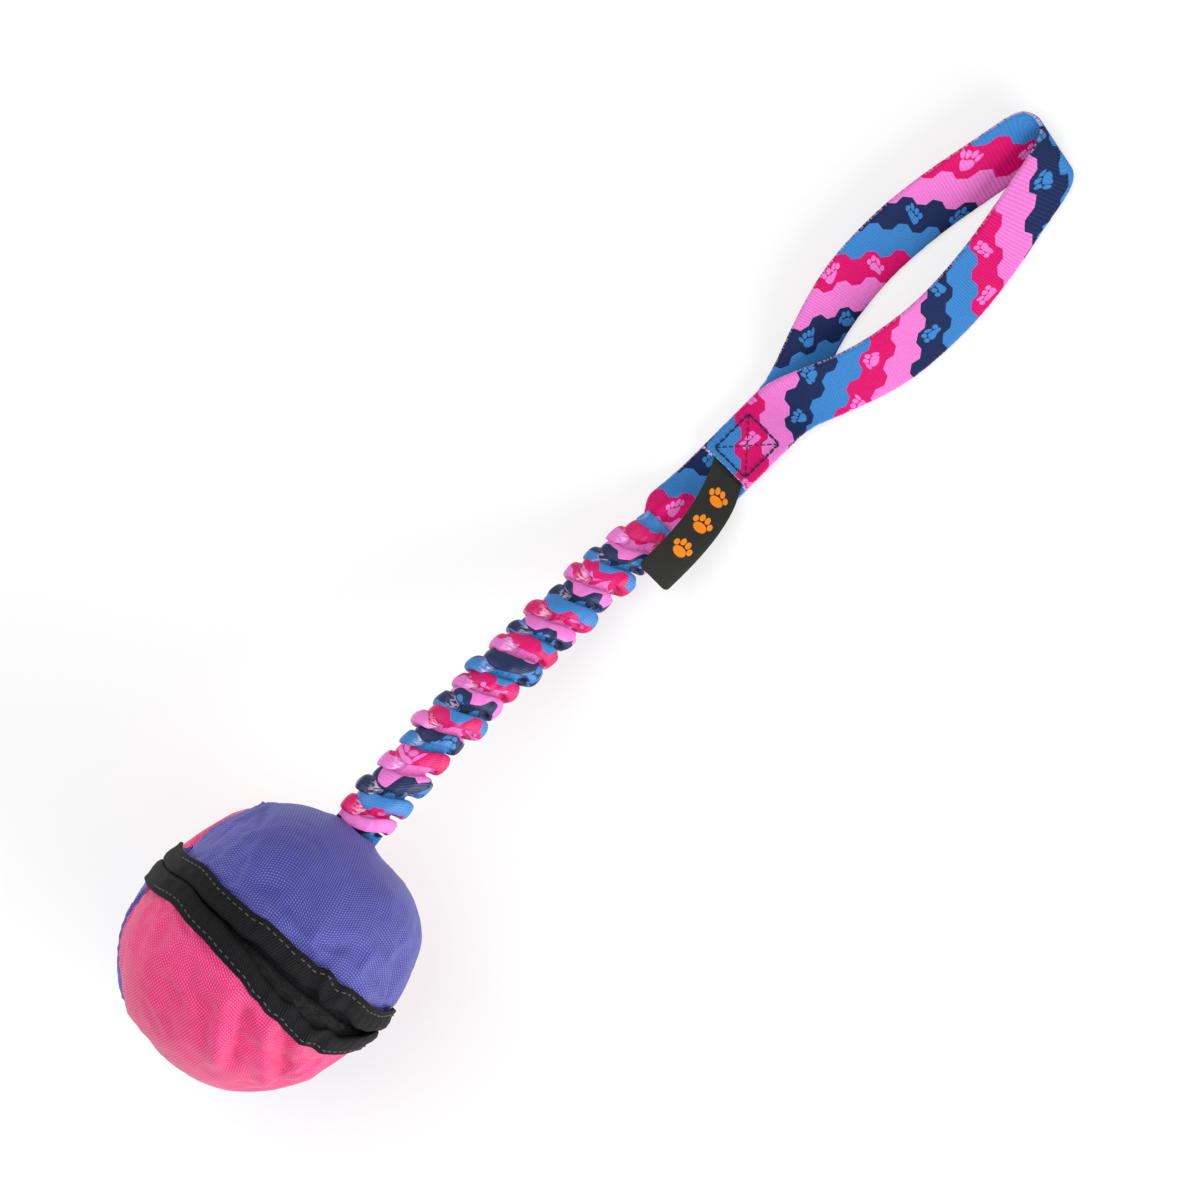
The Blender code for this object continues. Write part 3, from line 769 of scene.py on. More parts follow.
class PieceMaker:
    """Gathers points, faces and cloth coordinates, and makes one named piece of them."""

    def __init__(self, name: str) -> None:
        """Starts an empty piece of that name."""
        self.name = name
        self.points: list[Array] = []
        self.faces: list[Array] = []
        self.coords: list[Array] = []
        self.count = 0

    def place_points(self, points: Array) -> Array:
        """Adds a grid of points and returns the grid of their numbers."""
        shape = points.shape[:2]
        self.points.append(points.reshape(-1, 3))
        numbers = self.count + np.arange(shape[0] * shape[1]).reshape(shape)
        self.count += numbers.size
        return numbers

    def place_quads(self, numbers: Array, coords: Array) -> None:
        """Adds a four-sided face for each cell of a grid of point numbers.

        Args:
            numbers: The grid of point numbers, a closing column repeated.
            coords: Cloth coordinates of the same grid.
        """
        corners = [(slice(None, -1), slice(None, -1)), (slice(None, -1), slice(1, None))]
        corners += [(slice(1, None), slice(1, None)), (slice(1, None), slice(None, -1))]
        self.faces.append(np.stack([numbers[c] for c in corners], axis=-1).reshape(-1, 4))
        self.coords.append(np.stack([coords[c] for c in corners], axis=-2).reshape(-1, 4, 2))

    def add_shell(self, outer: Array, inner: Array, coords: Array) -> None:
        """Adds a closed sheet between two grids.

        Args:
            outer: Its outer face.
            inner: Its inner face.
            coords: Cloth coordinates of both.
        """
        top, under = self.place_points(outer), self.place_points(inner)
        self.place_quads(top, coords)
        self.place_quads(under[:, ::-1], coords[:, ::-1])
        for numbers_a, numbers_b, edge in (
            (top[0], under[0], coords[0]),
            (top[:, -1], under[:, -1], coords[:, -1]),
            (top[-1, ::-1], under[-1, ::-1], coords[-1, ::-1]),
            (top[::-1, 0], under[::-1, 0], coords[::-1, 0]),
        ):
            self.place_quads(np.stack([numbers_b, numbers_a]), np.stack([edge, edge]))

    def add_tube(self, rings: Array, coords: Array, capped: bool = True) -> None:
        """Adds a tube through closed rings of points.

        Args:
            rings: Points, ring by ring, without a repeated first point.
            coords: Cloth coordinates, with one column more than the rings have points.
            capped: Whether both ends are closed.
        """
        numbers = self.place_points(rings)
        closed = np.concatenate([numbers, numbers[:, :1]], axis=1)
        self.place_quads(closed, coords)
        if capped:
            for end, row in ((0, closed[0]), (-1, closed[-1])):
                middle = self.place_points(rings[end].mean(axis=0)[None, None])
                self._fan(int(middle[0, 0]), row, coords[end])

    def add_strip(self, rings: Array, u: Array, v: Array) -> None:
        """Adds a closed tube, with its cloth coordinates along it and round it given apart."""
        self.add_tube(rings, np.stack(np.broadcast_arrays(u, v), axis=-1))

    def _fan(self, middle: int, row: Array, coords: Array) -> None:
        """Adds triangles from a middle point to each side of a ring.

        Args:
            middle: The middle point's number.
            row: The ring's point numbers, the first repeated.
            coords: Cloth coordinates of the ring.
        """
        here, after = row[:-1], row[1:]
        self.faces.append(np.stack([np.full_like(here, middle), here, after], axis=-1))
        flat = np.repeat(coords.mean(axis=0)[None], len(here), axis=0)
        self.coords.append(np.stack([flat, coords[:-1], coords[1:]], axis=-2))

    def add_strand(self, path: Array, radius: Array | float, sides: int = 6) -> None:
        """Adds a round strand, such as a stitch or a fibre.

        Args:
            path: Points along its middle.
            radius: Its radius, or one for each point.
            sides: Sides of its section.
        """
        along = unit(np.gradient(path, axis=0))
        upright = 0.9
        reference = Z_AXIS if abs(along[0, 2]) < upright else X_AXIS
        across = unit(np.cross(along, reference))
        up = np.cross(across, along)
        turn = np.linspace(0, TURN, sides, endpoint=False)[None, :, None]
        thick = np.broadcast_to(np.asarray(radius, dtype=float), (len(path),))[:, None, None]
        section = across[:, None] * np.cos(turn) + up[:, None] * np.sin(turn)
        v = np.linspace(0, 1, sides + 1)[None] * (TURN * float(np.max(radius)))
        self.add_strip(path[:, None] + section * thick, lengths_along(path)[:, None], v)

    def make(self, material: bpy.types.Material, slot: str, sharp: float = 50.0) -> Piece:
        """Makes the piece.

        Args:
            material: Its finish.
            slot: The record's material slot that it stands in; not used.
            sharp: The angle, in degrees, past which an edge is sharp.

        Returns:
            The object, linked to the scene.
        """
        points = np.concatenate(self.points)
        mesh = bpy.data.meshes.new(self.name)
        mesh.from_pydata(points.tolist(), [], [f for faces in self.faces for f in faces.tolist()])
        layer = mesh.uv_layers.new(name="cloth")
        layer.data.foreach_set("uv", np.concatenate([c.reshape(-1, 2) for c in self.coords]).ravel())
        model = bmesh.new()
        model.from_mesh(mesh)
        bmesh.ops.recalc_face_normals(model, faces=model.faces)
        model.to_mesh(mesh)
        model.free()
        mesh.shade_smooth()
        mesh.set_sharp_from_angle(angle=math.radians(sharp))
        mesh.materials.append(material)
        item = bpy.data.objects.new(self.name, mesh)
        bpy.context.scene.collection.objects.link(item)
        return item


# Ball


@dataclass(frozen=True)
class Crease:
    """A soft fold or dent on the ball, placed by the photograph's pixels and given in real sizes."""

    start: tuple[float, float]
    end: tuple[float, float]
    width: float
    depth: float


@dataclass(frozen=True)
class Press:
    """A side from which the ball is pressed out of round, by its heading in the photograph."""

    heading: float
    share: float
    spread: float


@dataclass
class BallForm:
    """The ball's shape: a full profile turned about the line through its two poles."""

    radius: float = 60.0 * MM
    half_width: float = 55.0 * MM
    fullness: float = 2.3
    yaw: float = math.radians(7.5)
    roll: float = math.radians(13.0)
    rest_depth: float = 1.0 * MM
    rest_from_seam: float = 4.0 * MM
    middle_pixel: tuple[float, float] = (273.0, 941.0)
    pixel: float = 0.4 * MM
    floor_clear: float = 0.3 * MM
    floor_ease: float = 0.8 * MM
    facing_from: float = 12.0 * MM
    facing_ease: float = 25.0 * MM
    picture_heading: float = 45.0
    upper_share: float = 0.8
    left_bow: float = 5.0 * MM
    right_bow: float = 3.0 * MM
    right_bow_from: float = 0.62
    left_twist: float = 3.4
    back_twist: float = 1.2
    end_twist: float = 7.0
    presses: tuple[Press, ...] = (
        Press(112.0, 0.115, 38.0),
        Press(280.0, 0.115, 50.0),
        Press(228.0, 0.03, 26.0),
    )
    creases: tuple[Crease, ...] = (
        Crease((318, 932), (334, 948), 5.0 * MM, 2.0 * MM),
        Crease((345, 958), (356, 972), 4.5 * MM, 1.8 * MM),
        Crease((218, 964), (212, 988), 3.0 * MM, -1.2 * MM),
        Crease((247, 976), (236, 1034), 3.4 * MM, -2.9 * MM),
        Crease((266, 990), (252, 1034), 3.3 * MM, 3.3 * MM),
        Crease((285, 1004), (279, 1058), 3.5 * MM, -2.8 * MM),
        Crease((302, 1014), (296, 1052), 3.1 * MM, 2.8 * MM),
        Crease((318, 1022), (316, 1054), 3.8 * MM, -1.3 * MM),
        Crease((200, 985), (176, 1012), 6.0 * MM, 0.8 * MM),
        Crease((128, 1004), (150, 1036), 4.5 * MM, 1.6 * MM),
        Crease((160, 1030), (178, 1056), 4.5 * MM, 1.0 * MM),
        Crease((404, 880), (424, 925), 7.0 * MM, -1.6 * MM),
        Crease((392, 848), (412, 872), 5.0 * MM, 1.2 * MM),
    )

    def __post_init__(self) -> None:
        """Works out the ball's place."""
        turn = Matrix.Rotation(self.yaw, 4, "Z") @ Matrix.Rotation(self.roll, 4, "X")
        down = turn.transposed() @ Vector((0.0, 0.0, -1.0))
        power = self.fullness / (self.fullness - 1.0)
        across, along = self.radius * math.hypot(down.x, down.z), self.half_width * abs(down.y)
        height = (across**power + along**power) ** (1.0 / power) - self.rest_depth
        self.place = Matrix.Translation((-self.rest_from_seam, 0.0, height)) @ turn
        self.turn_matrix = np.array(turn.to_3x3())
        self.middle = np.array(self.place.translation)

    def to_world(self, points: Array) -> Array:
        """Lays points of the ball down: bent, pressed out of round and in the shared frame.

        Args:
            points: Points in the ball's own axes.

        Returns:
            The points in the shared frame.
        """
        share = points[..., 1] / self.half_width
        turn = self._twist(share) * smooth(points[..., 2] / (self.upper_share * self.radius))
        right = (-share - self.right_bow_from) / (1.0 - self.right_bow_from)
        bent = points.copy()
        bent[..., 0] = points[..., 0] * np.cos(turn) + points[..., 2] * np.sin(turn)
        bent[..., 2] = points[..., 2] * np.cos(turn) - points[..., 0] * np.sin(turn)
        bent[..., 0] += self.left_bow * smooth(share) + self.right_bow * smooth(right)
        placed = bent @ self.turn_matrix.T
        heading = np.degrees(np.arctan2(placed[..., 1], placed[..., 0])) + self.picture_heading
        for press in self.presses:
            away = (heading - press.heading + 180.0) % 360.0 - 180.0
            placed[..., :2] *= 1.0 - press.share * hump(away, press.spread)[..., None]
        return placed + self.middle

    def _twist(self, share: Array) -> Array:
        """How far the mouth is turned about the pole line, at shares of the way to the left pole."""
        left = self.left_twist * smooth((share + 0.2) / 0.6)
        left = left + self.end_twist * smooth((share - 0.75) / 0.25)
        right = self.end_twist * smooth((-share - 0.8) / 0.2) - self.back_twist * hump(share + 0.6, 0.3)
        return np.radians(left + right)

    def profile(self, angle: Array) -> tuple[Array, Array, Array, Array]:
        """The ball's outline through its poles.

        Args:
            angle: Angles from the left pole.

        Returns:
            Radius, place along the pole line, and the normal's part outwards and along.
        """
        sine, cosine = np.sin(angle), np.cos(angle)
        scale = (np.abs(sine) ** self.fullness + np.abs(cosine) ** self.fullness) ** (-1 / self.fullness)
        radius, along = self.radius * sine * scale, self.half_width * cosine * scale
        power = self.fullness - 1.0
        out = (radius / self.radius) ** power / self.radius
        side = np.copysign((np.abs(along) / self.half_width) ** power, along) / self.half_width
        length = np.hypot(out, side)
        return radius, along, out / length, side / length

    def angle_at(self, radius: float) -> float:
        """The angle from the left pole at which the profile has a radius."""
        share = radius / self.radius
        return math.atan2(share, (1.0 - share**self.fullness) ** (1.0 / self.fullness))

    def point(
        self, angle: Array, turn: Array | float, offset: Array | float, depth: Array | float
    ) -> Array:
        """Points below the surface, beside a plane through the pole line.

        Args:
            angle: Angle from the left pole.
            turn: Turn about the pole line, from the mouth towards the bungee.
            offset: Distance from that plane.
            depth: Distance below the surface.

        Returns:
            The points, in the ball's own axes.
        """
        radius, along, out, side = self.profile(angle)
        inner = radius - depth * out
        turn = turn + np.arcsin(np.clip(offset / inner, -1.0, 1.0))
        return np.stack([inner * np.sin(turn), along - depth * side, inner * np.cos(turn)], axis=-1)

    def seen_at(self, pixel: tuple[float, float]) -> Array:
        """The place that a pixel of the photograph shows.

        Args:
            pixel: Its place across and down.

        Returns:
            X and Y in the shared frame.
        """
        right, down = pixel[0] - self.middle_pixel[0], pixel[1] - self.middle_pixel[1]
        step = self.pixel / math.sqrt(2.0)
        return self.middle[:2] + np.array([step * (right - down), -step * (right + down)])

    def crumple(self, points: Array, normals: Array) -> Array:
        """Presses the soft folds and dents into points of the skin, and flattens it on the floor.

        Args:
            points: Points in the shared frame.
            normals: Outward normals of those points.

        Returns:
            The moved points.
        """
        sink = np.zeros(points.shape[:-1])
        facing = smooth((points[..., 2] - self.facing_from) / self.facing_ease)
        for crease in self.creases:
            start, end = self.seen_at(crease.start), self.seen_at(crease.end)
            line = end - start
            share = np.clip((points[..., :2] - start) @ line / (line @ line), 0.0, 1.0)
            nearest = start + share[..., None] * line
            far = np.linalg.norm(points[..., :2] - nearest, axis=-1)
            sink += crease.depth * hump(far, crease.width)
        moved = points - normals * (sink * facing)[..., None]
        height = moved[..., 2] - self.floor_clear
        moved[..., 2] = self.floor_clear + (height + np.sqrt(height**2 + self.floor_ease**2)) / 2
        return moved

    def attach(self, item: Piece, side: Side, end: End, node: str) -> None:
        """Bakes a piece's place into its mesh and hides the solid that it stands for.

        Args:
            item: The piece.
            side: Its half of the ball.
            end: Its end of the mouth; not used.
            node: The solid that it stands for.
        """
        bodies = [f"ball_{side.word}"] + [f"ball_{other.word}" for other in Side if other is not side]
        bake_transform(item)
        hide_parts(node)


@dataclass
class Mouth:
    """The mouth's lips: how far apart they lie and how they pucker."""

    gap_narrow: float = 2.6 * MM
    gap_wide: float = 10.0 * MM
    wide_place: float = -23.0 * MM
    wide_spread: float = 22.0 * MM
    end_radius: float = 14.0 * MM
    binding_width: float = 10.0 * MM
    binding_thickness: float = 1.3 * MM
    lip_depth: float = 2.0 * MM
    web_depth: float = 11.0 * MM
    tape_thickness: float = 1.2 * MM
    tape_end_radius: float = 26.0 * MM
    clearance: float = 0.3 * MM
    pucker: float = 1.3 * MM
    pucker_length: float = 15.0 * MM
    pucker_place: float = -19.0 * MM
    pucker_spread: float = 19.0 * MM
    pucker_reach: float = 17.0 * MM
    pucker_least: float = 0.18
    pucker_end: float = 34.0 * MM
    pucker_fade: float = 14.0 * MM
    upper_ease: float = 8.0 * MM
    lift: float = 1.1 * MM
    gape_places: tuple[float, ...] = (-60, -52, -46, -42, -31, -16, 1, 7, 18, 28, 40, 48, 60)
    gape_widths: tuple[float, ...] = (-0.6, -0.4, 1.6, 4.5, 9, 9.7, 8, 7, 4, 2, 1, 0.3, 0.3)
    gape_ease: float = 3.0 * MM
    gape_steps: int = 7
    tape_top: float = 2.6 * MM
    tape_lean: float = 4.0 * MM
    tape_proud: float = 0.35 * MM
    meet_share: float = 0.4
    tail_radius: float = 19.0 * MM
    tail_stations: int = 9
    tail_pole: float = math.radians(1.5)
    thread_from_edge: float = 2.2 * MM
    thread_radius: float = 0.27 * MM
    thread_end: float = 1.5 * MM
    stitch: float = 1.8 * MM
    stitch_gap: float = 1.5 * MM

    @property
    def stitch_pitch(self) -> float:
        """Distance from one stitch to the next."""
        return self.stitch + self.stitch_gap

    def lip(self, along: Array) -> Array:
        """Half of the mouth's gap at places along the pole line."""
        gape = hump(along - self.wide_place, self.wide_spread)
        return (self.gap_narrow + (self.gap_wide - self.gap_narrow) * gape) / 2

    def closing(self, along: Array) -> Array:
        """How far each lip is drawn towards the other.

        Args:
            along: Places along the pole line.

        Returns:
            What takes each lip from the solids' gap to the gape that is seen.
        """
        places, gaps = np.array(self.gape_places) * MM, np.array(self.gape_widths) * MM
        around = np.linspace(-self.gape_ease, self.gape_ease, self.gape_steps)
        seen = sum(np.interp(along + step, places, gaps) for step in around) / len(around)
        return self.lip(along) - seen / 2

    def tape_face(self, along: Array, depth: Array, side: Side) -> tuple[Array, Array]:
        """The face of a fastener tape, which leans in below the lip until the two tapes meet.

        Args:
            along: Places along the pole line.
            depth: Depths below the surface.
            side: Which lip's tape.

        Returns:
            The face's offset from the mouth's plane, and how far it keeps out of the lip's puckers.
        """
        calm = smooth((depth - self.tape_top) / self.tape_lean)
        start = self.lip(along) + self.tape_proud
        closing = self.closing(along)
        meet = side.value * self.meet_share * (self.lip(along) - closing) + closing + self.clearance / 2
        return start + (meet - start) * calm, calm

    def flex(self, points: Array, side: Side, calm: Array | float = 0.0) -> Array:
        """Puckers points near a lip, as the stitching gathers it.

        Args:
            points: Points in the ball's own axes, on one side of the mouth.
            side: Which side.
            calm: How far the points keep out of the puckers.

        Returns:
            The moved points.
        """
        along = points[..., 1]
        seed = 11 if side is Side.UPPER else 23
        near = hump(points[..., 0], self.pucker_reach) * smooth(points[..., 2] / self.upper_ease)
        lively = self.pucker_least + hump(along - self.pucker_place, self.pucker_spread)
        past = smooth((np.abs(along) - self.pucker_end) / self.pucker_fade)
        lively = lively * near * (1.0 - past) * (1.0 - calm)
        moved = points.copy()
        moved[..., 0] += side.value * self.pucker * ripple(along, self.pucker_length, seed) * lively
        moved[..., 0] -= side.value * self.closing(along) * near
        moved[..., 2] += self.lift * ripple(along, self.pucker_length * 0.8, seed + 1) * lively
        return moved


@dataclass(frozen=True)
class Quarter:
    """One of the ball's four gores."""

    place: str
    side: Side
    colour: str
    number: int

    @property
    def name(self) -> str:
        """What its pieces are called after."""
        return f"{self.place}_{self.side.word}"


@dataclass
class Ball:
    """The padded ball: four woven panels over padding and a lining."""

    form: BallForm
    mouth: Mouth
    quarters: tuple[Quarter, ...] = (
        Quarter("front", Side.UPPER, "purple", 0),
        Quarter("back", Side.UPPER, "pink", 1),
        Quarter("back", Side.LOWER, "purple", 2),
        Quarter("front", Side.LOWER, "pink", 3),
    )
    rows: int = 65
    panel_columns: int = 24
    tip_radius: float = 0.6 * MM
    panel_thickness: float = 0.9 * MM
    padding_depth: float = 2.5 * MM
    padding_thickness: float = 5.4 * MM
    padding_skip: int = 16
    padding_inset: int = 4
    lining_depth: float = 8.4 * MM
    lining_thickness: float = 0.8 * MM
    lining_skip: int = 4
    end_depth: float = 1.2 * MM
    end_slope: float = 0.48
    lining_gore: float = 100.0 * MM
    turn_in_ease: float = 22.0 * MM
    pole_calm: float = 8.0 * MM
    pole_ease: float = 10.0 * MM
    seam_depth: float = 1.5 * MM
    seam_width: float = 2.2 * MM
    seam_pucker: float = 0.22 * MM
    seam_pucker_from: float = 3.4 * MM
    seam_pucker_reach: float = 2.4 * MM
    left_seam_drop: float = math.radians(14.0)
    right_seam_drop: float = math.radians(23.0)
    seam_pucker_length: float = 4.6 * MM
    allowance: tuple[float, ...] = (1.4 * MM, 2.9 * MM, 4.4 * MM)
    fold_clear: float = 0.35 * MM
    inset: float = 1.3 * MM
    pressure: float = 4.0
    slack: float = 0.035
    swell: float = 3.2 * MM
    frames: int = 20

    def edge_offset(self, angle: Array) -> Array:
        """How far a panel's edge lies from the mouth's plane: behind the binding, or at the seam."""
        radius, along, _, _ = self.form.profile(angle)
        mouth = self.mouth
        behind = mouth.tape_thickness + mouth.binding_thickness + 2 * mouth.clearance
        inside = smooth((radius - 0.6 * mouth.end_radius) / (0.4 * mouth.end_radius))
        return (mouth.lip(along) + behind) * inside

    def rest_grid(self) -> Array:
        """The skin before it is filled.

        Returns:
            Its grid: rows from pole to pole, columns from lip round to lip.
        """
        tip = self.form.angle_at(self.tip_radius)
        angle = np.linspace(tip, math.pi - tip, self.rows)
        radius = self.form.profile(angle)[0]
        edge = np.arcsin(np.clip(self.edge_offset(angle) / radius, 0.0, 0.9))
        quarters = []
        for quarter in range(4):
            low = quarter * math.pi / 2 + self._seam_shift(angle, quarter)
            high = (quarter + 1) * math.pi / 2 + self._seam_shift(angle, quarter + 1)
            low, high = low + (edge if quarter == 0 else 0.0), high - (edge if quarter == 3 else 0.0)
            share = np.linspace(0.0, 1.0, self.panel_columns + 1)[: None if quarter == 3 else -1]
            quarters.append(low[:, None] + (high - low)[:, None] * share[None])
        turn = np.concatenate(quarters, axis=1)
        return self.form.point(angle[:, None] + 0 * turn, turn, 0.0, 0.0)

    def _seam_shift(self, angle: Array, seam: int) -> Array:
        """How far below the widest line a seam runs.

        Args:
            angle: Angles from the left pole.
            seam: The seam's number, from the upper lip round; 1 and 3 part front from back.

        Returns:
            Turns about the pole line, which fade towards the left end and at the tab.
        """
        if seam not in (1, 3):
            return 0.0 * angle
        along = self.form.profile(angle)[1]
        if seam == 3:
            return -self.left_seam_drop * (1.0 - smooth((along - 14.0 * MM) / (30.0 * MM)))
        drop = self.right_seam_drop * (1.0 - smooth((along - 27.0 * MM) / (18.0 * MM)))
        rise = math.radians(3.0) * hump(along - 43.0 * MM, 12.0 * MM)
        return drop * (1.0 - hump(along, 12.0 * MM)) + rise

    def held(self, points: Array) -> Array:
        """How firmly the skin is held: at the seams, the poles and under the binding.

        Args:
            points: Its grid.

        Returns:
            1 where a point is held, else 0.
        """
        columns = np.arange(points.shape[1])
        from_seam = np.abs((columns + self.panel_columns / 2) % self.panel_columns - self.panel_columns / 2)
        seam = np.where(from_seam == 0, 1.0, 0.0)[None] + np.zeros(points.shape[:2])
        poles = np.hypot(points[..., 0], points[..., 2]) < 0.55 * self.mouth.end_radius
        reach = self.mouth.lip(points[..., 1]) + self.mouth.binding_width - 1.0 * MM
        flange = (np.abs(points[..., 0]) < reach) & (points[..., 2] > 0.0)
        return np.maximum(seam, np.where(poles | flange, 1.0, 0.0))

    def fill(self, points: Array) -> Array:
        """Fills the skin: a cloth simulation under pressure, held along its seams.

        Args:
            points: The grid of the empty skin.

        Returns:
            The grid of the filled skin.
        """
        held = self.held(points)
        normals = normals_towards(points, points)
        start = points - normals * (self.inset * (1.0 - held))[..., None]
        settled = simulate_cloth(start, held, self.pressure, self.slack, self.frames)
        moved = settled - start
        far = np.linalg.norm(moved, axis=-1, keepdims=True)
        return start + moved * np.minimum(1.0, self.swell / np.maximum(far, 1e-9))

    def sew(self, points: Array) -> Array:
        """Draws the seams in and puckers the cloth beside them.

        Args:
            points: The fine grid of the filled skin.

        Returns:
            The grid with its seams.
        """
        normals = normals_towards(points, points)
        along = self._down(points)
        sink = np.zeros(points.shape[:2])
        for seam in (self.fine, 2 * self.fine, 3 * self.fine):
            far = np.linalg.norm(points - points[:, seam : seam + 1], axis=-1)
            sink += self.seam_depth * hump(far, self.seam_width)
            wave = np.cos(TURN * along / self.seam_pucker_length + ripple(along, 40 * MM, seam))
            beside = hump(far - self.seam_pucker_from, self.seam_pucker_reach)
            sink += self.seam_pucker * wave * beside
        sink *= smooth((np.hypot(points[..., 0], points[..., 2]) - self.pole_calm) / self.pole_ease)
        return points - normals * sink[..., None]

    @property
    def fine(self) -> int:
        """Columns of the finished skin in one quarter."""
        return 2 * self.panel_columns

    @staticmethod
    def _down(points: Array) -> Array:
        """Distance down each column of a grid."""
        return np.stack([lengths_along(points[:, c]) for c in range(points.shape[1])], axis=1)

    def build_skin(self) -> None:
        """Works out the finished skin, its normals and its cloth's measures."""
        points = self.sew(refine(self.fill(self.rest_grid())))
        half = points.shape[1] // 2
        points[:, : half + 1] = self.mouth.flex(points[:, : half + 1], Side.UPPER)
        points[:, half:] = self.mouth.flex(points[:, half:], Side.LOWER)
        points = self.form.to_world(points)
        outward = points - self.form.middle
        self.skin = self.form.crumple(points, normals_towards(points, outward))
        self.normals = normals_towards(self.skin, outward)
        self.down = self._down(self.skin)
        self.down -= self.down[len(self.skin) // 2]
        step = np.linalg.norm(np.diff(self.skin, axis=1), axis=-1)
        self.across = np.concatenate([np.zeros((len(step), 1)), np.cumsum(step, axis=1)], axis=1)
        self.gore = np.clip(np.arange(points.shape[1]) // self.fine, 0, 3)

    def _cloth_coords(self, rows: slice, columns: slice, gore: Array) -> Array:
        """Cloth coordinates of a part of the skin, across from the middle of its gores.

        Args:
            rows: The part's rows.
            columns: Its columns.
            gore: The number of the gore that each column of the skin is cut in.

        Returns:
            The coordinates.
        """
        middles = self.across[:, gore * self.fine + self.fine // 2]
        u = (self.across - middles)[rows, columns]
        return np.stack([u, self.down[rows, columns]], axis=-1)

    def build(self, wardrobe: Wardrobe) -> list[Piece]:
        """Builds the panels, the padding and the linings.

        Args:
            wardrobe: The finishes.

        Returns:
            The pieces.
        """
        self.build_skin()
        pieces = []
        for quarter in self.quarters:
            for end in End:
                pieces.append(self._panel(wardrobe, quarter, end))
                pieces.append(self._padding(wardrobe, quarter, end))
        return pieces + [self._lining(wardrobe, side, end) for side in Side for end in End]

    def _rows(self, end: End, skip: int = 0) -> slice:
        """The skin's rows towards one end of the mouth, without the last few."""
        rows, middle = len(self.skin), len(self.skin) // 2
        return slice(skip, middle + 1) if end is End.LEFT else slice(middle, rows - skip)

    def _columns(self, first: int, quarters: int = 1, inset: int = 0) -> slice:
        """The skin's columns of one quarter or more, without some at each side."""
        return slice(first * self.fine + inset, (first + quarters) * self.fine + 1 - inset)

    def _panel(self, wardrobe: Wardrobe, quarter: Quarter, end: End) -> Piece:
        """One half of a woven panel, with its seam allowances turned in.

        Args:
            wardrobe: The finishes.
            quarter: The panel's quarter.
            end: Which half.

        Returns:
            The piece.
        """
        rows, columns = self._rows(end), self._columns(quarter.number)
        coords = self._cloth_coords(rows, columns, np.full_like(self.gore, quarter.number))
        outer, normals = self.skin[rows, columns], self.normals[rows, columns]
        before, after = quarter.number > 0, quarter.number < 3
        outer, coords = self._turn_in(outer, coords, normals, before, after)
        normals = grid_normals(outer)
        normals *= np.sign(np.sum(normals * (outer - self.form.middle), axis=-1).mean())
        maker = PieceMaker(f"panel_{quarter.name}_{end.word}")
        maker.add_shell(outer, outer - normals * self.panel_thickness, coords)
        material = wardrobe.purple if quarter.colour == "purple" else wardrobe.pink
        item = maker.make(material, f"{quarter.colour}_nylon", 70.0)
        self.form.attach(item, quarter.side, end, f"panel_{quarter.name}")
        return item

    def _turn_in(
        self, outer: Array, coords: Array, normals: Array, before: bool, after: bool
    ) -> tuple[Array, Array]:
        """Adds the seam allowances, folded towards the ball's inside.

        Args:
            outer: The panel's grid.
            coords: Its cloth coordinates.
            normals: Its normals.
            before: Whether its first column is a seam.
            after: Whether its last column is a seam.

        Returns:
            The longer grid and its coordinates.
        """
        for wanted, first in ((before, True), (after, False)):
            if not wanted:
                continue
            edge, inner = (0, 1) if first else (-1, -2)
            away = unit(outer[:, inner] - outer[:, edge]) * self.fold_clear
            room = np.clip(self._from_pole_line(outer[:, edge]) / self.turn_in_ease, 0.05, 1.0)
            depths = self.allowance[::-1] if first else self.allowance
            down = [(normals[:, edge] * depth - away) * room[:, None] for depth in depths]
            stack = np.stack([outer[:, edge] - step for step in down], axis=1)
            on = [np.array([-depth if first else depth, 0.0]) for depth in depths]
            flat = np.stack([coords[:, edge] + step for step in on], axis=1)
            outer = np.concatenate([stack, outer] if first else [outer, stack], axis=1)
            coords = np.concatenate([flat, coords] if first else [coords, flat], axis=1)
        return outer, coords

    def _from_pole_line(self, points: Array) -> Array:
        """Distance of each point from the line through the poles."""
        local = (points - self.form.middle) @ self.form.turn_matrix
        return np.hypot(local[..., 0], local[..., 2])

    def _layer(self, name: str, rows: slice, columns: slice, depth: float, thickness: float) -> PieceMaker:
        """A closed layer below the skin.

        Args:
            name: The piece's name.
            rows: The skin's rows that it lies under.
            columns: The skin's columns that it lies under.
            depth: How far below the skin its top is, less where the ends leave no room.
            thickness: Its thickness.

        Returns:
            The piece's maker.
        """
        coarse = (slice(None, None, 2), slice(None, None, 2))
        points, normals = self.skin[rows, columns][coarse], self.normals[rows, columns][coarse]
        coords = self._cloth_coords(rows, columns, self.gore)[coarse]
        room = self.end_depth + self.end_slope * self._from_pole_line(points)[..., None]
        top = np.minimum(depth, room)
        maker = PieceMaker(name)
        maker.add_shell(points - normals * top, points - normals * (top + thickness), coords)
        return maker

    def _padding(self, wardrobe: Wardrobe, quarter: Quarter, end: End) -> Piece:
        """One half of the padding behind a panel.

        Args:
            wardrobe: The finishes.
            quarter: The panel's quarter.
            end: Which half.

        Returns:
            The piece.
        """
        rows = self._rows(end, self.padding_skip)
        columns = self._columns(quarter.number, inset=self.padding_inset)
        name = f"padding_{quarter.name}_{end.word}"
        maker = self._layer(name, rows, columns, self.padding_depth, self.padding_thickness)
        item = maker.make(wardrobe.padding, "white_foam")
        self.form.attach(item, quarter.side, end, f"foam_{quarter.name}")
        return item

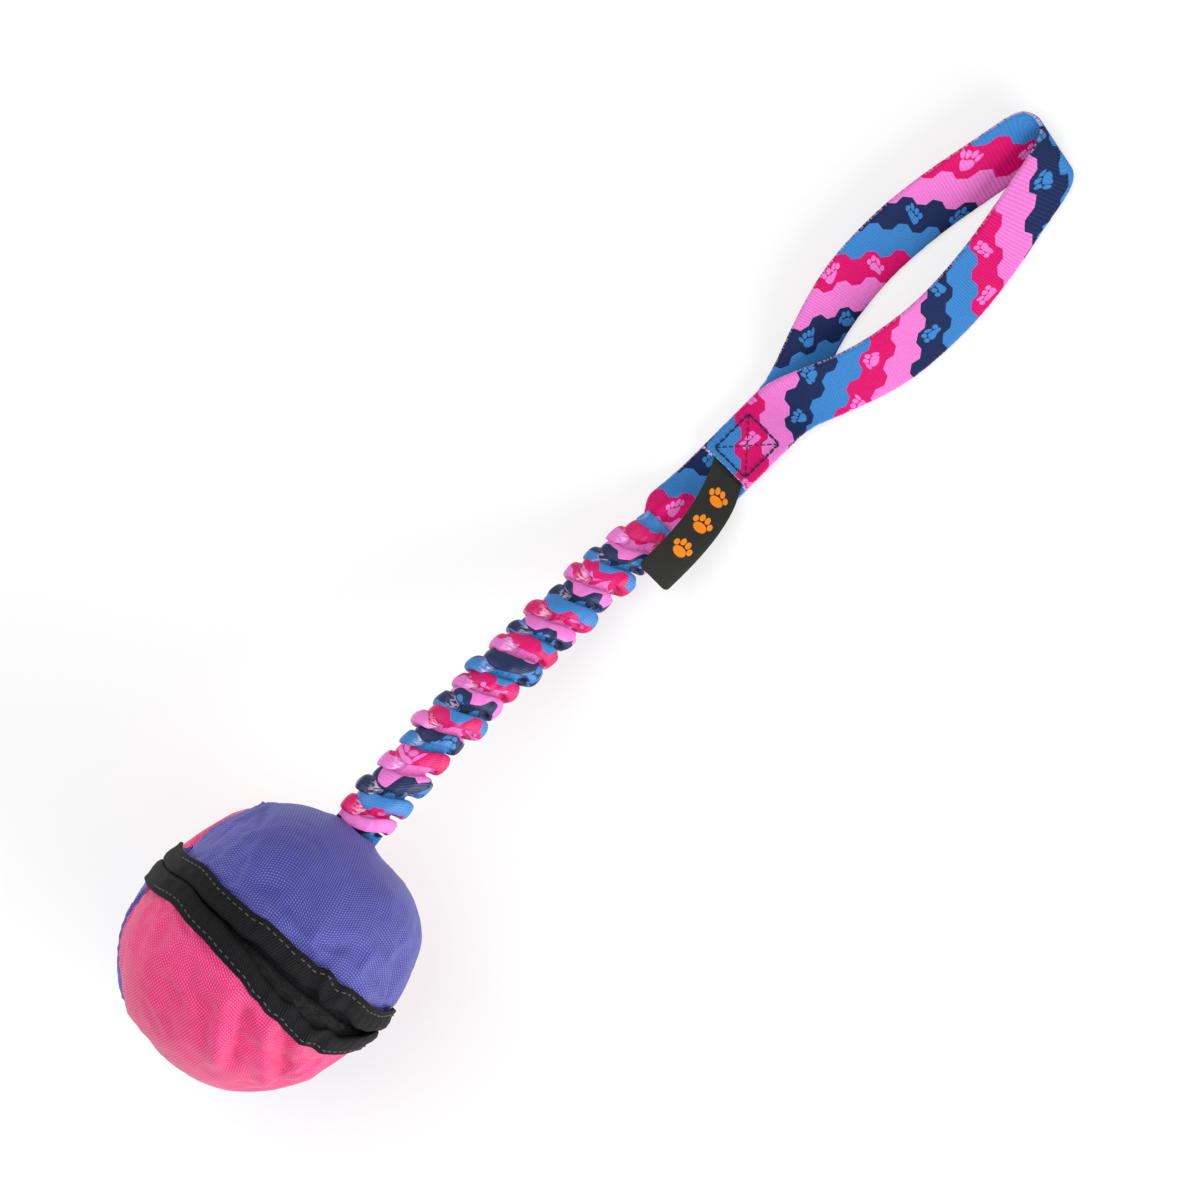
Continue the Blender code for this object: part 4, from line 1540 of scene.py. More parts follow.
    def _lining(self, wardrobe: Wardrobe, side: Side, end: End) -> Piece:
        """One half of a lining.

        Args:
            wardrobe: The finishes.
            side: The lining's half of the ball.
            end: Which half of the lining.

        Returns:
            The piece.
        """
        rows = self._rows(end, self.lining_skip)
        columns = self._columns(0 if side is Side.UPPER else 2, 2)
        name = f"lining_{side.word}"
        maker = self._layer(
            f"{name}_{end.word}", rows, columns, self.lining_depth, self.lining_thickness
        )
        item = maker.make(wardrobe.lining, "black_lining")
        self.form.attach(item, side, end, name)
        return item


def refine(points: Array) -> Array:
    """One smooth subdivision of a grid, both ways."""
    for _ in range(2):
        ahead = np.concatenate([points[1:], 2 * points[-1:] - points[-2:-1]])
        behind = np.concatenate([2 * points[:1] - points[1:2], points[:-1]])
        far = np.concatenate([ahead[1:], 2 * ahead[-1:] - ahead[-2:-1]])
        middle = (9 * (points + ahead) - behind - far) / 16
        fine = np.empty((2 * len(points) - 1, *points.shape[1:]))
        fine[0::2] = points
        fine[1::2] = middle[:-1]
        points = fine.swapaxes(0, 1)
    return points


def simulate_cloth(points: Array, held: Array, pressure: float, slack: float, frames: int) -> Array:
    """Blows a grid of cloth up from inside.

    Args:
        points: The grid.
        held: How firmly each point is held, from 0 to 1.
        pressure: Pressure from inside.
        slack: How much longer the cloth is cut than the grid.
        frames: Steps that it settles for.

    Returns:
        The settled grid.
    """
    maker = PieceMaker("cloth_under_pressure")
    numbers = maker.place_points(points)
    maker.place_quads(numbers, points[..., :2])
    mesh = bpy.data.meshes.new(maker.name)
    mesh.from_pydata(points.reshape(-1, 3).tolist(), [], maker.faces[0].tolist())
    normal, middle = mesh.polygons[len(mesh.polygons) // 2].normal, mesh.polygons[len(mesh.polygons) // 2].center
    if normal.dot(middle) < 0.0:
        mesh.flip_normals()
    item = bpy.data.objects.new(maker.name, mesh)
    bpy.context.scene.collection.objects.link(item)
    group = item.vertex_groups.new(name="held")
    for number, weight in enumerate(held.ravel()):
        group.add([number], float(weight), "REPLACE")
    cloth = item.modifiers.new("cloth", "CLOTH")
    settings = cloth.settings
    settings.quality = 6
    settings.mass = 0.2
    settings.bending_stiffness = 0.05
    settings.use_pressure = True
    settings.uniform_pressure_force = pressure
    settings.vertex_group_mass = "held"
    settings.shrink_min = -slack
    settings.effector_weights.gravity = 0.0
    cloth.point_cache.frame_start, cloth.point_cache.frame_end = 1, frames
    scene = bpy.context.scene
    for step in range(1, frames + 1):
        scene.frame_set(step)
    settled = item.evaluated_get(bpy.context.evaluated_depsgraph_get()).data
    result = np.array([v.co for v in settled.vertices], float).reshape(points.shape)
    bpy.data.objects.remove(item)
    scene.frame_set(1)
    return result


@dataclass
class Lips:
    """The two lips: bindings, tapes and their stitching."""

    form: BallForm
    mouth: Mouth
    stations: int = 141
    ragged: float = 0.08 * MM
    ragged_length: float = 3.1 * MM
    puff: float = 0.22 * MM
    tape_levels: int = 7
    fibres: int = 700
    fibre_reach: float = 0.9 * MM
    hooks: int = 150
    hook_reach: float = 0.5 * MM
    fibre_radius: float = 0.09 * MM
    stitch_sink: float = 0.75 * MM

    def _place(
        self, angle: Array, offset: Array, depth: Array, side: Side, calm: Array | float = 0.0
    ) -> Array:
        """Points beside the mouth, in the shared frame.

        Args:
            angle: Angles from the left pole.
            offset: Distances from the mouth's plane.
            depth: Depths below the surface.
            side: Which lip.
            calm: How far the points keep out of the lip's puckers.

        Returns:
            The points.
        """
        points = self.form.point(angle, 0.0, offset, depth)
        points[..., 0] *= side.value
        return self.form.to_world(self.mouth.flex(points, side, calm))

    def _angles(self, end: End, end_radius: float) -> Array:
        """Angles of the stations from the middle to one end of the mouth."""
        last = self.form.angle_at(end_radius)
        near, far = (last, math.pi / 2) if end is End.LEFT else (math.pi / 2, math.pi - last)
        return np.linspace(near, far, self.stations // 2)

    def _binding_section(self, angle: Array, side: Side) -> tuple[Array, Array]:
        """Offsets and depths of the binding's section at each angle.

        Args:
            angle: Angles from the left pole.
            side: Which lip.

        Returns:
            Two arrays, each with one row for each angle.
        """
        mouth = self.mouth
        along = self.form.profile(angle)[1]
        lip = mouth.lip(along)
        front = lip + mouth.tape_thickness + mouth.clearance
        back = front + mouth.binding_thickness
        ragged = self.ragged * ripple(along, self.ragged_length, 31 + side.value)
        wide, thick, depth = mouth.binding_width, mouth.binding_thickness, mouth.web_depth
        outer, under = lip + wide + ragged, -mouth.clearance
        puff = self.puff * (1.0 + np.cos(TURN * along / mouth.stitch_pitch))
        top = under - thick
        corners = (
            (outer, under),
            (outer + 0.1 * MM, under - 0.5 * thick),
            (outer - 0.3 * MM, top),
            (lip + 0.75 * wide, top + 0.18 * MM + 0.3 * puff),
            (lip + 0.5 * wide, top - 0.15 * MM - puff),
            (lip + 0.25 * wide, top - 0.25 * MM - puff),
            (lip + 0.6 * MM, top + 0.25 * MM),
            (lip - 0.05 * MM, top + 1.2 * MM),
            (lip, 0.7 * mouth.lip_depth),
            (lip + 0.4 * MM, mouth.lip_depth),
            (front, mouth.lip_depth + 0.2 * MM),
            (front, 0.6 * depth),
            (front, depth),
            (back, depth),
            (back, 0.5 * depth),
            (back, under + 0.6 * MM),
            (back + 0.6 * MM, under),
            (lip + 0.6 * wide, under),
        )
        values = [np.broadcast_to(value, lip.shape) for corner in corners for value in corner]
        return np.stack(values[0::2], axis=-1), np.stack(values[1::2], axis=-1)

    def build(self, wardrobe: Wardrobe) -> list[Piece]:
        """Builds both lips.

        Args:
            wardrobe: The finishes.

        Returns:
            The pieces.
        """
        makers = (self._binding, self._tape, self._stitching)
        return [make(wardrobe, side, end) for side in Side for end in End for make in makers]

    def _with_tail(self, rings: Array, first_angle: float) -> Array:
        """Carries a strip's section on over the ball's left pole, turning with the surface.

        Args:
            rings: The strip's sections, from its left end.
            first_angle: Angle of the first one.

        Returns:
            The sections with those of the tail before them.
        """
        pole, count = self.mouth.tail_pole, self.mouth.tail_stations
        before = np.linspace(first_angle, pole, count)
        after = np.linspace(pole, self.form.angle_at(self.mouth.tail_radius), count)
        turns = np.repeat([0.0, math.pi], count)
        path = self.form.to_world(self.form.point(np.concatenate([before, after]), turns, 0.0, 0.0))
        headings = [Vector(heading) for heading in unit(np.gradient(path, axis=0))]
        sideways = Vector(self.form.turn_matrix @ X_AXIS)
        tail = []
        for place, heading in zip(path[1:], headings[1:]):
            bend = headings[0].angle(heading)
            sign = 1.0 if headings[0].cross(heading).dot(sideways) > 0.0 else -1.0
            turn = np.array(Matrix.Rotation(sign * bend, 3, sideways))
            tail.append((rings[0] - path[0]) @ turn.T + place)
        return np.concatenate([np.array(tail[::-1]), rings])

    def _swept(self, name: str, rings: Array) -> PieceMaker:
        """A strip through sections that are already in the shared frame.

        Args:
            name: The piece's name.
            rings: The sections.

        Returns:
            The piece's maker.
        """
        around = lengths_along(np.concatenate([rings[0], rings[0, :1]]))[None]
        maker = PieceMaker(name)
        maker.add_strip(rings, lengths_along(rings.mean(axis=1))[:, None], around)
        return maker

    def _binding(self, wardrobe: Wardrobe, side: Side, end: End) -> Piece:
        """Half of one lip's binding.

        Args:
            wardrobe: The finishes.
            side: Which lip.
            end: Which half.

        Returns:
            The piece.
        """
        angle = self._angles(end, self.mouth.end_radius)
        offsets, depths = self._binding_section(angle, side)
        rings = self._place(angle[:, None] + 0 * offsets, offsets, depths, side)
        if end is End.LEFT:
            rings = self._with_tail(rings, angle[0])
        node = f"lip_binding_{side.word}"
        maker = self._swept(f"{node}_{end.word}", rings)
        item = maker.make(wardrobe.binding, "black_webbing", 60.0)
        self.form.attach(item, side, end, node)
        return item

    def _tape(self, wardrobe: Wardrobe, side: Side, end: End) -> Piece:
        """Half of one lip's fastener tape, with the nap or hooks that stand on it.

        Args:
            wardrobe: The finishes.
            side: Which lip: the upper has the hooks.
            end: Which half.

        Returns:
            The piece.
        """
        mouth = self.mouth
        angle = self._angles(end, mouth.tape_end_radius)
        levels = np.linspace(mouth.tape_top, mouth.web_depth - 0.4 * MM, self.tape_levels)
        levels = np.concatenate([levels, levels[::-1]])[None] + np.zeros((len(angle), 1))
        face, calm = mouth.tape_face(self.form.profile(angle)[1][:, None], levels, side)
        behind = np.repeat([0.0, mouth.tape_thickness - mouth.tape_proud], self.tape_levels)
        rings = self._place(angle[:, None] + 0 * face, face + behind, levels, side, calm)
        kind, finish, seed = "loop_tape", wardrobe.loops, 7
        if side is Side.UPPER:
            kind, finish, seed = "hook_tape", wardrobe.hooks, 5
        maker = self._swept(f"{kind}_{end.word}", rings)
        self._nap(maker, angle, side, seed)
        item = maker.make(finish, kind, 60.0)
        self.form.attach(item, side, end, kind)
        return item

    def _nap(self, maker: PieceMaker, angle: Array, side: Side, seed: int) -> None:
        """Adds short curved fibres or hooks to a tape's face.

        Args:
            maker: The tape's maker.
            angle: The tape's angles.
            side: Which lip.
            seed: Which draw of fibres.
        """
        draw = np.random.default_rng(seed)
        count, reach = self.fibres, self.fibre_reach
        if side is Side.UPPER:
            count, reach = self.hooks, self.hook_reach
        steps = np.linspace(0.0, 1.0, 4)
        curve = reach * np.sin(steps * 2.2)
        for _ in range(count):
            where = draw.uniform(angle[0], angle[-1])
            depth = self.mouth.tape_top + draw.uniform(0.1, 5.0) * MM
            drift = draw.normal(0.0, 0.8 * MM, 2)
            along = self.form.profile(np.array(where))[1]
            face, calm = self.mouth.tape_face(along, np.array(depth), side)
            offsets = float(face) - curve * draw.uniform(0.5, 1.0)
            rise = curve * draw.uniform(0.2, 0.9) * float(calm)
            angles = where + drift[1] / self.form.radius * steps
            path = self._place(angles, offsets, depth + drift[0] * steps - rise, side, calm)
            maker.add_strand(path, self.fibre_radius, 3)

    def _stitching(self, wardrobe: Wardrobe, side: Side, end: End) -> Piece:
        """Half of the stitches along one lip's binding.

        Args:
            wardrobe: The finishes.
            side: Which lip.
            end: Which half.

        Returns:
            The piece.
        """
        mouth = self.mouth
        angle = self._angles(end, mouth.end_radius + mouth.thread_end)
        fine = np.linspace(angle[0], angle[-1], 900)
        along = self.form.profile(fine)[1]
        offset = mouth.lip(along) + mouth.binding_width - mouth.thread_from_edge
        depth = -(mouth.clearance + mouth.binding_thickness + 0.05 * MM) + 0 * offset
        line = self._place(fine, offset, depth, side)
        sunk = self._place(fine, offset, depth + self.stitch_sink, side)
        run = lengths_along(line)
        node = f"lip_thread_{side.word}"
        maker = PieceMaker(f"{node}_{end.word}")
        draw = np.random.default_rng(41 + side.value)
        dip = np.array([1.0, 0.35, 0.0, 0.0, 0.35, 1.0])[:, None]
        for number in range(int(run[-1] / mouth.stitch_pitch)):
            start = number * mouth.stitch_pitch + draw.uniform(0.0, 0.25 * MM)
            places = start + mouth.stitch * np.array([0.0, 0.12, 0.35, 0.65, 0.88, 1.0])
            on, under = (points_along(path, run, places) for path in (line, sunk))
            radius = mouth.thread_radius * draw.uniform(0.9, 1.1)
            maker.add_strand(on * (1 - dip) + under * dip, radius)
        item = maker.make(wardrobe.grey_thread, "grey_thread")
        self.form.attach(item, side, end, node)
        return item


# Bungee


@dataclass
class Bungee:
    """The gathered sleeve over its elastic core, and the tab that it hangs from."""

    form: BallForm
    folds: int = 16
    rings_a_fold: int = 30
    sides: int = 120
    tab_reach: float = 4.0 * MM
    tab_bite: float = 7.0 * MM
    tab_width: float = 20.0 * MM
    tab_thickness: float = 2.0 * MM
    clearance: float = 0.3 * MM
    overlap: float = 3.2 * MM
    end_x: float = 228.0 * MM
    end_y: float = 10.0 * MM
    rest_half_height: float = 7.0 * MM
    pull_share: float = 0.95
    left_half_width: float = 5.7 * MM
    right_half_width: float = 6.9 * MM
    valley_half_height: float = 4.3 * MM
    cloth_thickness: float = 0.45 * MM
    core_radius: float = 2.9 * MM
    fold_width: float = 4.7 * MM
    fold_height: float = 3.3 * MM
    fullness: float = 1.74
    crest_stretch: float = 0.62
    bend: float = 0.15
    uneven: float = 0.24
    slant: float = math.radians(17.0)
    lean: float = 1.3 * MM
    zigzag: float = 3.6 * MM
    wrinkle: float = 0.28 * MM
    pleat: float = 0.22 * MM
    pleats: int = 26
    seam_turn: float = math.radians(147.0)
    cloth_a_fold: float = 31.0 * MM
    cloth_around: float = 58.0 * MM
    colour_drift: float = 4.5 * MM
    first_fold: float = 0.83

    def __post_init__(self) -> None:
        """Works out the bungee's two ends."""
        self.start = np.array(self.form.place @ Vector((self.form.radius + self.tab_reach + self.clearance, 0, 0)))
        x, y = self.form.middle[0] + self.end_x, self.form.middle[1] + self.end_y
        self.end = np.array([x, y, self.rest_half_height + self.clearance])
        self.pull = np.linalg.norm(self.end - self.start) * self.pull_share
        self.out = self.form.turn_matrix @ X_AXIS

    def line(self, share: Array) -> Array:
        """Points of the bungee's middle line."""
        return cubic(self.start, self.out * self.pull, self.end, np.array([self.pull, 0.0, 0.0]), share)

    def axes(self, share: Array) -> tuple[Array, Array, Array, Array]:
        """The middle line's points and its directions along, across and up."""
        step = 1e-4
        along = unit(self.line(share + step) - self.line(share - step))
        across = unit(np.cross(Z_AXIS, along))
        up = np.cross(along, across)
        roll = (self.form.roll * (1.0 - smooth(share)))[:, None]
        turned = across * np.cos(roll) + up * np.sin(roll)
        return self.line(share), along, turned, up * np.cos(roll) - across * np.sin(roll)

    def oval(self, share: Array, turn: Array, half_width: Array, half_height: Array, shift: Array) -> Array:
        """Points round the middle line.

        Args:
            share: One share of the way for each ring.
            turn: Turn round the line, from the right side over the top, for each point.
            half_width: Half width for each point.
            half_height: Half height for each point.
            shift: Shift along the line for each point.

        Returns:
            Rings of points.
        """
        middle, along, across, up = self.axes(share)
        wide = -np.cos(turn) * half_width
        high = np.sin(turn) * half_height
        points = middle[:, None] + across[:, None] * wide[..., None] + up[:, None] * high[..., None]
        return points + along[:, None] * shift[..., None]

    def sleeve_grid(self) -> tuple[Array, Array]:
        """Rings of the gathered sleeve and their cloth coordinates.

        Returns:
            The rings, and coordinates with one column more.
        """
        draw = np.random.default_rng(3)
        length = float(np.linalg.norm(self.end - self.start))
        rings = self.folds * self.rings_a_fold + 1
        fold = np.linspace(0.0, self.folds, rings)
        widths = 1.0 + self.uneven * draw.uniform(-1, 1, self.folds)
        bounds = np.concatenate([[0.0], np.cumsum(widths)]) / widths.sum()
        share = np.interp(fold, np.arange(self.folds + 1), bounds)
        share = share * (1.0 + self.overlap / length) - self.overlap / length
        q = np.arange(self.sides) / self.sides
        turn = self.seam_turn - TURN * q
        sway = self.bend * np.sin(TURN * q / 0.42) * (1.0 - smooth((q - 0.30) / 0.14))
        phase = fold[:, None] + (sway + 0.5 * smooth((q - 0.46) / 0.36))[None]
        number = np.floor(phase).astype(int) % self.folds
        rise, ahead = self._fold_curve(phase - np.floor(phase))
        uneven = (1.0 + self.uneven * draw.uniform(-1, 1, self.folds))[number]
        ends = smooth((fold + 0.25) / 0.7) * smooth((self.folds - fold) / 0.8)
        size = uneven * self._fold_share(q)[None] * ends[:, None]
        rough = self._wrinkles(fold, q, rise, draw)
        valley = self.left_half_width + (self.right_half_width - self.left_half_width) * (1 + np.cos(turn)) / 2
        half_width = valley[None] + self.fold_width * rise * size + rough
        half_height = self.valley_half_height + self.fold_height * rise * size + 0.7 * rough
        slants = math.tan(self.slant) + 0.10 * draw.uniform(-1, 1, self.folds)
        slant = np.interp(fold, np.arange(self.folds) + 0.5, slants)[:, None]
        pitch = length / self.folds
        shift = np.cos(turn)[None] * half_width * slant * ends[:, None]
        leans = (self.lean * (1.0 + 0.9 * draw.uniform(-1, 1, self.folds)))[number]
        shift += pitch * ahead * np.minimum(size, 1.0) - leans * rise * size * self._lean_share(turn)[None]
        seam = hump(np.minimum(q, 1.0 - q), 0.08)[None]
        zig = self.zigzag * np.cos(TURN * (fold - 0.45))[:, None] * seam * ends[:, None]
        points = self.oval(share, turn[None] + zig / self.right_half_width, half_width, half_height, shift)
        points[..., 2] = np.maximum(points[..., 2], self.clearance)
        return points, self._cloth_coords(fold, q, sway)

    def _fold_curve(self, local: Array) -> tuple[Array, Array]:
        """The curve that a gathered sheet takes: its heading swings to and fro.

        Args:
            local: Shares of one fold's own length.

        Returns:
            Its height from 0 to 1, and how far it runs ahead of an even pace, in folds.
        """
        steps = np.linspace(0.0, 1.0, 201)
        heading = self.fullness * np.sin(TURN * steps)
        rise = np.cumsum(np.sin(heading)) / np.cumsum(np.sin(heading)).max()
        run = np.cumsum(np.cos(heading) * (1.0 + self.crest_stretch * (rise - 0.5)))
        return np.interp(local, steps, rise), np.interp(local, steps, (run - run[0]) / (run[-1] - run[0]) - steps)

    def _wrinkles(self, fold: Array, q: Array, rise: Array, draw: np.random.Generator) -> Array:
        """Small creases: soft ones all over, and fine pleats between the folds.

        Args:
            fold: Place along the sleeve, in folds.
            q: Place round the sleeve.
            rise: How far each point stands up its fold.
            draw: Source of chance.

        Returns:
            How far each point is raised.
        """
        soft = np.zeros((len(fold), len(q)))
        for waves, pace in ((7, 1.3), (11, 2.6), (16, 0.7)):
            start = draw.uniform(0, TURN, 2)
            around = np.sin(TURN * (waves * q[None] + 0.31 * fold[:, None]) + start[0])
            soft += around * np.sin(TURN * (pace * fold[:, None] + 1.7 * q[None]) + start[1])
        lines = np.cos(TURN * self.pleats * q[None] + 2.1 * np.floor(fold)[:, None])
        return self.wrinkle * soft / 1.6 + self.pleat * lines * (1.0 - rise) ** 2

    def _fold_share(self, q: Array) -> Array:
        """How high the folds stand round the sleeve, from the seam round to the seam."""
        places = (0.0, 0.03, 0.08, 0.16, 0.28, 0.38, 0.46, 0.58, 0.72, 0.84, 0.93, 0.975, 1.0)
        heights = (0.62, 0.74, 0.88, 0.98, 1.08, 1.18, 1.10, 0.85, 0.75, 1.05, 1.25, 1.05, 0.62)
        return np.interp(q, places, heights)

    def _lean_share(self, turn: Array) -> Array:
        """How much the folds lean towards the ball: most on top, least below."""
        return 0.65 + 0.35 * np.sin(turn)

    def _cloth_coords(self, fold: Array, q: Array, sway: Array) -> Array:
        """Cloth coordinates of the sleeve: two of the print's bands for each fold, with a little drift."""
        u = (fold + self.first_fold) * self.cloth_a_fold + self.colour_drift * ripple(fold, 6.5, 12)
        v = (np.append(q, 1.0) - 0.5) * self.cloth_around
        along = u[:, None] + np.append(sway, sway[0])[None] * self.cloth_a_fold
        return np.stack([along, v[None] + 0 * along], axis=-1)

    def build(self, wardrobe: Wardrobe) -> list[Piece]:
        """Builds the sleeve, the core and the tab.

        Args:
            wardrobe: The finishes.

        Returns:
            The pieces.
        """
        return [self._sleeve(wardrobe), self._core(wardrobe), self._tab(wardrobe)]

    def _sleeve(self, wardrobe: Wardrobe) -> Piece:
        """The gathered sleeve: one thin cloth, which follows its folds inside and out.

        Args:
            wardrobe: The finishes.

        Returns:
            The piece.
        """
        rings, coords = self.sleeve_grid()
        around = np.roll(rings, -1, axis=1) - np.roll(rings, 1, axis=1)
        normals = unit(np.cross(np.gradient(rings, axis=0), around))
        outward = np.sign(np.sum(normals * (rings - rings.mean(axis=1, keepdims=True)), axis=-1).mean())
        inner = rings - normals * (outward * self.cloth_thickness)
        inner[..., 2] = np.maximum(inner[..., 2], rings[..., 2].min() + self.cloth_thickness / 2)
        maker = PieceMaker("bungee_sleeve_gathered")
        cloth, flat = np.concatenate([rings, inner[::-1]]), np.concatenate([coords, coords[::-1]])
        maker.add_tube(cloth, flat, capped=False)
        grid = np.arange(maker.count).reshape(-1, self.sides)
        ends = np.stack([grid[-1], grid[0]])
        closed = np.concatenate([ends, ends[:, :1]], axis=1)
        maker.place_quads(closed, np.stack([coords[0], coords[0]]))
        item = maker.make(wardrobe.sleeve, "printed_sleeve", 180.0)
        self._stretch(item, "bungee_sleeve")
        return item

    def _stretch(self, item: Piece, node: str) -> None:
        """Bakes a piece's place into its mesh and hides the solid that it stands in for."""
        Vector(self.start)
        Vector(self.end)
        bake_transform(item)
        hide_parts(node)

    def _core(self, wardrobe: Wardrobe) -> Piece:
        """The braided elastic inside the sleeve.

        Args:
            wardrobe: The finishes.

        Returns:
            The piece.
        """
        share, sides = np.linspace(0.0, 1.0, 90), 20
        flat = np.zeros((len(share), sides))
        turn = np.linspace(0, TURN, sides, endpoint=False)[None] + flat
        rings = self.oval(share, turn, self.core_radius + flat, self.core_radius + flat, flat)
        around = np.linspace(0, TURN * self.core_radius, sides + 1)[None]
        maker = PieceMaker("elastic_core_braided")
        maker.add_strip(rings, lengths_along(self.line(share))[:, None], around)
        item = maker.make(wardrobe.elastic, "white_elastic")
        self._stretch(item, "elastic_core")
        return item

    def _tab(self, wardrobe: Wardrobe) -> Piece:
        """The webbing tab in the ball's seam, folded double at its end.

        Args:
            wardrobe: The finishes.

        Returns:
            The piece.
        """
        x = np.linspace(-self.tab_bite, self.tab_reach, 12)
        section = rounded_strip(self.tab_width / 2, self.tab_thickness / 2)
        rings = np.zeros((len(x), len(section), 3))
        rings[..., 0] = self.form.radius + x[:, None]
        rings[..., 1] = section[None, :, 0]
        thin = 1.0 - 0.35 * smooth((x - self.tab_reach + 1.5 * MM) / (1.5 * MM))
        rings[..., 2] = section[None, :, 1] * thin[:, None]
        maker = PieceMaker("anchor_tab_folded")
        maker.add_strip(self.form.to_world(rings), x[:, None], places_across(section))
        item = maker.make(wardrobe.webbing, "printed_webbing")
        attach(item, "ball_upper")
        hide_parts("anchor_tab")
        return item


def rounded_strip(half_width: float, half_thickness: float, across: int = 13) -> Array:
    """The section of a strap: across its top, round its edge, back below and round again.

    Args:
        half_width: Half of its width.
        half_thickness: Half of its thickness.
        across: Points across each face.

    Returns:
        Points, each with its place across and its height.
    """
    flat = half_width - 0.7 * half_thickness
    top = [(v, half_thickness) for v in np.linspace(-flat, flat, across)]
    edge = [(half_width - 0.15 * half_thickness, 0.6 * half_thickness), (half_width, 0.0)]
    edge += [(half_width - 0.15 * half_thickness, -0.6 * half_thickness)]
    bottom = [(v, -half_thickness) for v in np.linspace(flat, -flat, across)]
    other = [(-v, -h) for v, h in edge]
    return np.array(top + edge + bottom + other)


def places_across(section: Array) -> Array:
    """A section's places across, as a row that ends where it starts."""
    return np.append(section[:, 0], section[0, 0])[None]


# Strap


@dataclass
class Strap:
    """One strap of webbing: the neck, the hand loop's two legs and the sewn-down end."""

    form: BallForm
    bungee: Bungee
    width: float = 25.0 * MM
    thickness: float = 1.9 * MM
    solid_thickness: float = 2.0 * MM
    layer_gap: float = 0.5 * MM
    y: float = 6.0 * MM
    neck_width: float = 21.0 * MM
    level_x: float = 254.0 * MM
    cut_x: float = 262.0 * MM
    fold_x: float = 287.0 * MM
    loop_length: float = 159.0 * MM
    half_spread: float = 16.4 * MM
    lean: float = math.radians(23.0)
    lean_share: float = 0.22
    layer_share: float = 0.35
    sweep: float = math.radians(8.0)
    loop_shares: tuple[tuple[float, float], ...] = (
        (0.0, 0.0), (0.07, 0.0), (0.18, 0.52), (0.32, 1.0), (0.50, 1.16),
        (0.68, 1.0), (0.84, 0.68), (0.95, 0.50), (1.0, 0.29),
    )
    steps: int = 12
    neck_bite: float = 6.0 * MM
    throat_share: float = 0.42
    neck_cup: float = 2.4 * MM
    neck_hump: float = 5.2 * MM
    neck_dip: float = 0.6 * MM
    hump_at: float = 4.5 * MM
    hump_reach: float = 5.0 * MM
    wave: float = 0.35 * MM
    wave_length: float = 46.0 * MM
    ragged: float = 0.05 * MM
    ragged_length: float = 5.0 * MM
    selvedge_from: float = 11.5 * MM
    floor_clear: float = 0.12 * MM
    yarns: int = 170
    yarn_radius: float = 0.11 * MM
    print_ahead: float = 20.0 * MM
    print_behind: float = 8.5 * MM
    tip_ease: float = 50.0 * MM
    fold_start: float = 278.0 * MM
    fold_end: float = 296.0 * MM
    label_y: float = 4.5 * MM
    label_reach: float = 8.8 * MM

    def __post_init__(self) -> None:
        """Works out the layers' heights and the strap's middle line."""
        self.low = self.solid_thickness / 2
        self.top = self.low + self.solid_thickness + self.layer_gap
        self.base = np.array([self.form.middle[0], self.form.middle[1], 0.0])
        self._lay_out()

    def _loop_plan(self) -> Array:
        """The loop's middle line seen from above."""
        out = np.array([(x * self.loop_length, y * self.half_spread) for x, y in self.loop_shares])
        corners = np.concatenate([out, out[::-1] * (1.0, -1.0)])
        ends = np.concatenate([corners[:1], corners[:1], corners, corners[-1:], corners[-1:]])
        t = (np.arange(self.steps) / self.steps)[:, None]
        weights = ((1 - t) ** 3, 3 * t**3 - 6 * t**2 + 4, -3 * t**3 + 3 * t**2 + 3 * t + 1, t**3)
        runs = [sum(w * ends[i + k] for k, w in enumerate(weights)) / 6 for i in range(len(ends) - 3)]
        points = np.concatenate([*runs, corners[-1:]])
        keep = np.concatenate([[True], np.linalg.norm(np.diff(points, axis=0), axis=1) > 0.25 * MM])
        return points[keep]

    def _loop(self) -> tuple[Array, Array]:
        """The loop's middle points and the direction across the webbing at each."""
        plan = self._loop_plan()
        share = plan[:, 0] / self.loop_length
        lean = self.lean * smooth(share / self.lean_share)
        sweep = self.sweep * smooth(share / self.lean_share)
        layer = np.where(np.arange(len(plan)) < len(plan) / 2, 0.0, self.top - self.low)
        resting = (self.width * np.sin(lean) + self.solid_thickness * np.cos(lean)) / 2
        height = resting + layer * (1.0 - smooth(share / self.layer_share))
        across = unit(np.stack([np.sin(sweep), np.cos(sweep), np.tan(lean)], axis=-1))
        start = self.base + np.array([self.fold_x, self.y, 0.0])
        return start + np.stack([plan[:, 0], plan[:, 1], height], axis=-1), across

    def _lay_out(self) -> None:
        """Joins the neck, the loop and the sewn-down end into one line."""
        share = np.linspace(0.0, 1.0, 34)
        start = self.bungee.end - np.array([self.neck_bite, 0.0, 0.0])
        level = self.base + np.array([self.level_x, self.y, self.low])
        pull = np.array([level[0] - start[0], 0.0, 0.0])
        neck = cubic(start, pull, level, pull, share)
        flat_x = np.linspace(self.level_x, self.fold_x, 16)[1:-1]
        flat = self.base + np.stack([flat_x, self.y + 0 * flat_x, self.low + 0 * flat_x], axis=-1)
        loop, loop_across = self._loop()
        end_x = np.linspace(self.fold_x, self.cut_x, 16)[1:]
        end = self.base + np.stack([end_x, self.y + 0 * end_x, self.top + 0 * end_x], axis=-1)
        self.middle = np.concatenate([neck, flat, loop, end])
        before, after = (np.tile(Y_AXIS, (n, 1)) for n in (len(neck) + len(flat), len(end)))
        self.across = np.concatenate([before, loop_across, after])
        self.gather = np.concatenate([1.0 - smooth(share), np.zeros(len(self.middle) - len(neck))])
        self.mouth_share = smooth((lengths_along(self.middle) + 1.0 * MM) / (2.2 * self.neck_bite))
        self.along = unit(np.gradient(self.middle, axis=0))
        self.normal = unit(np.cross(self.along, self.across))

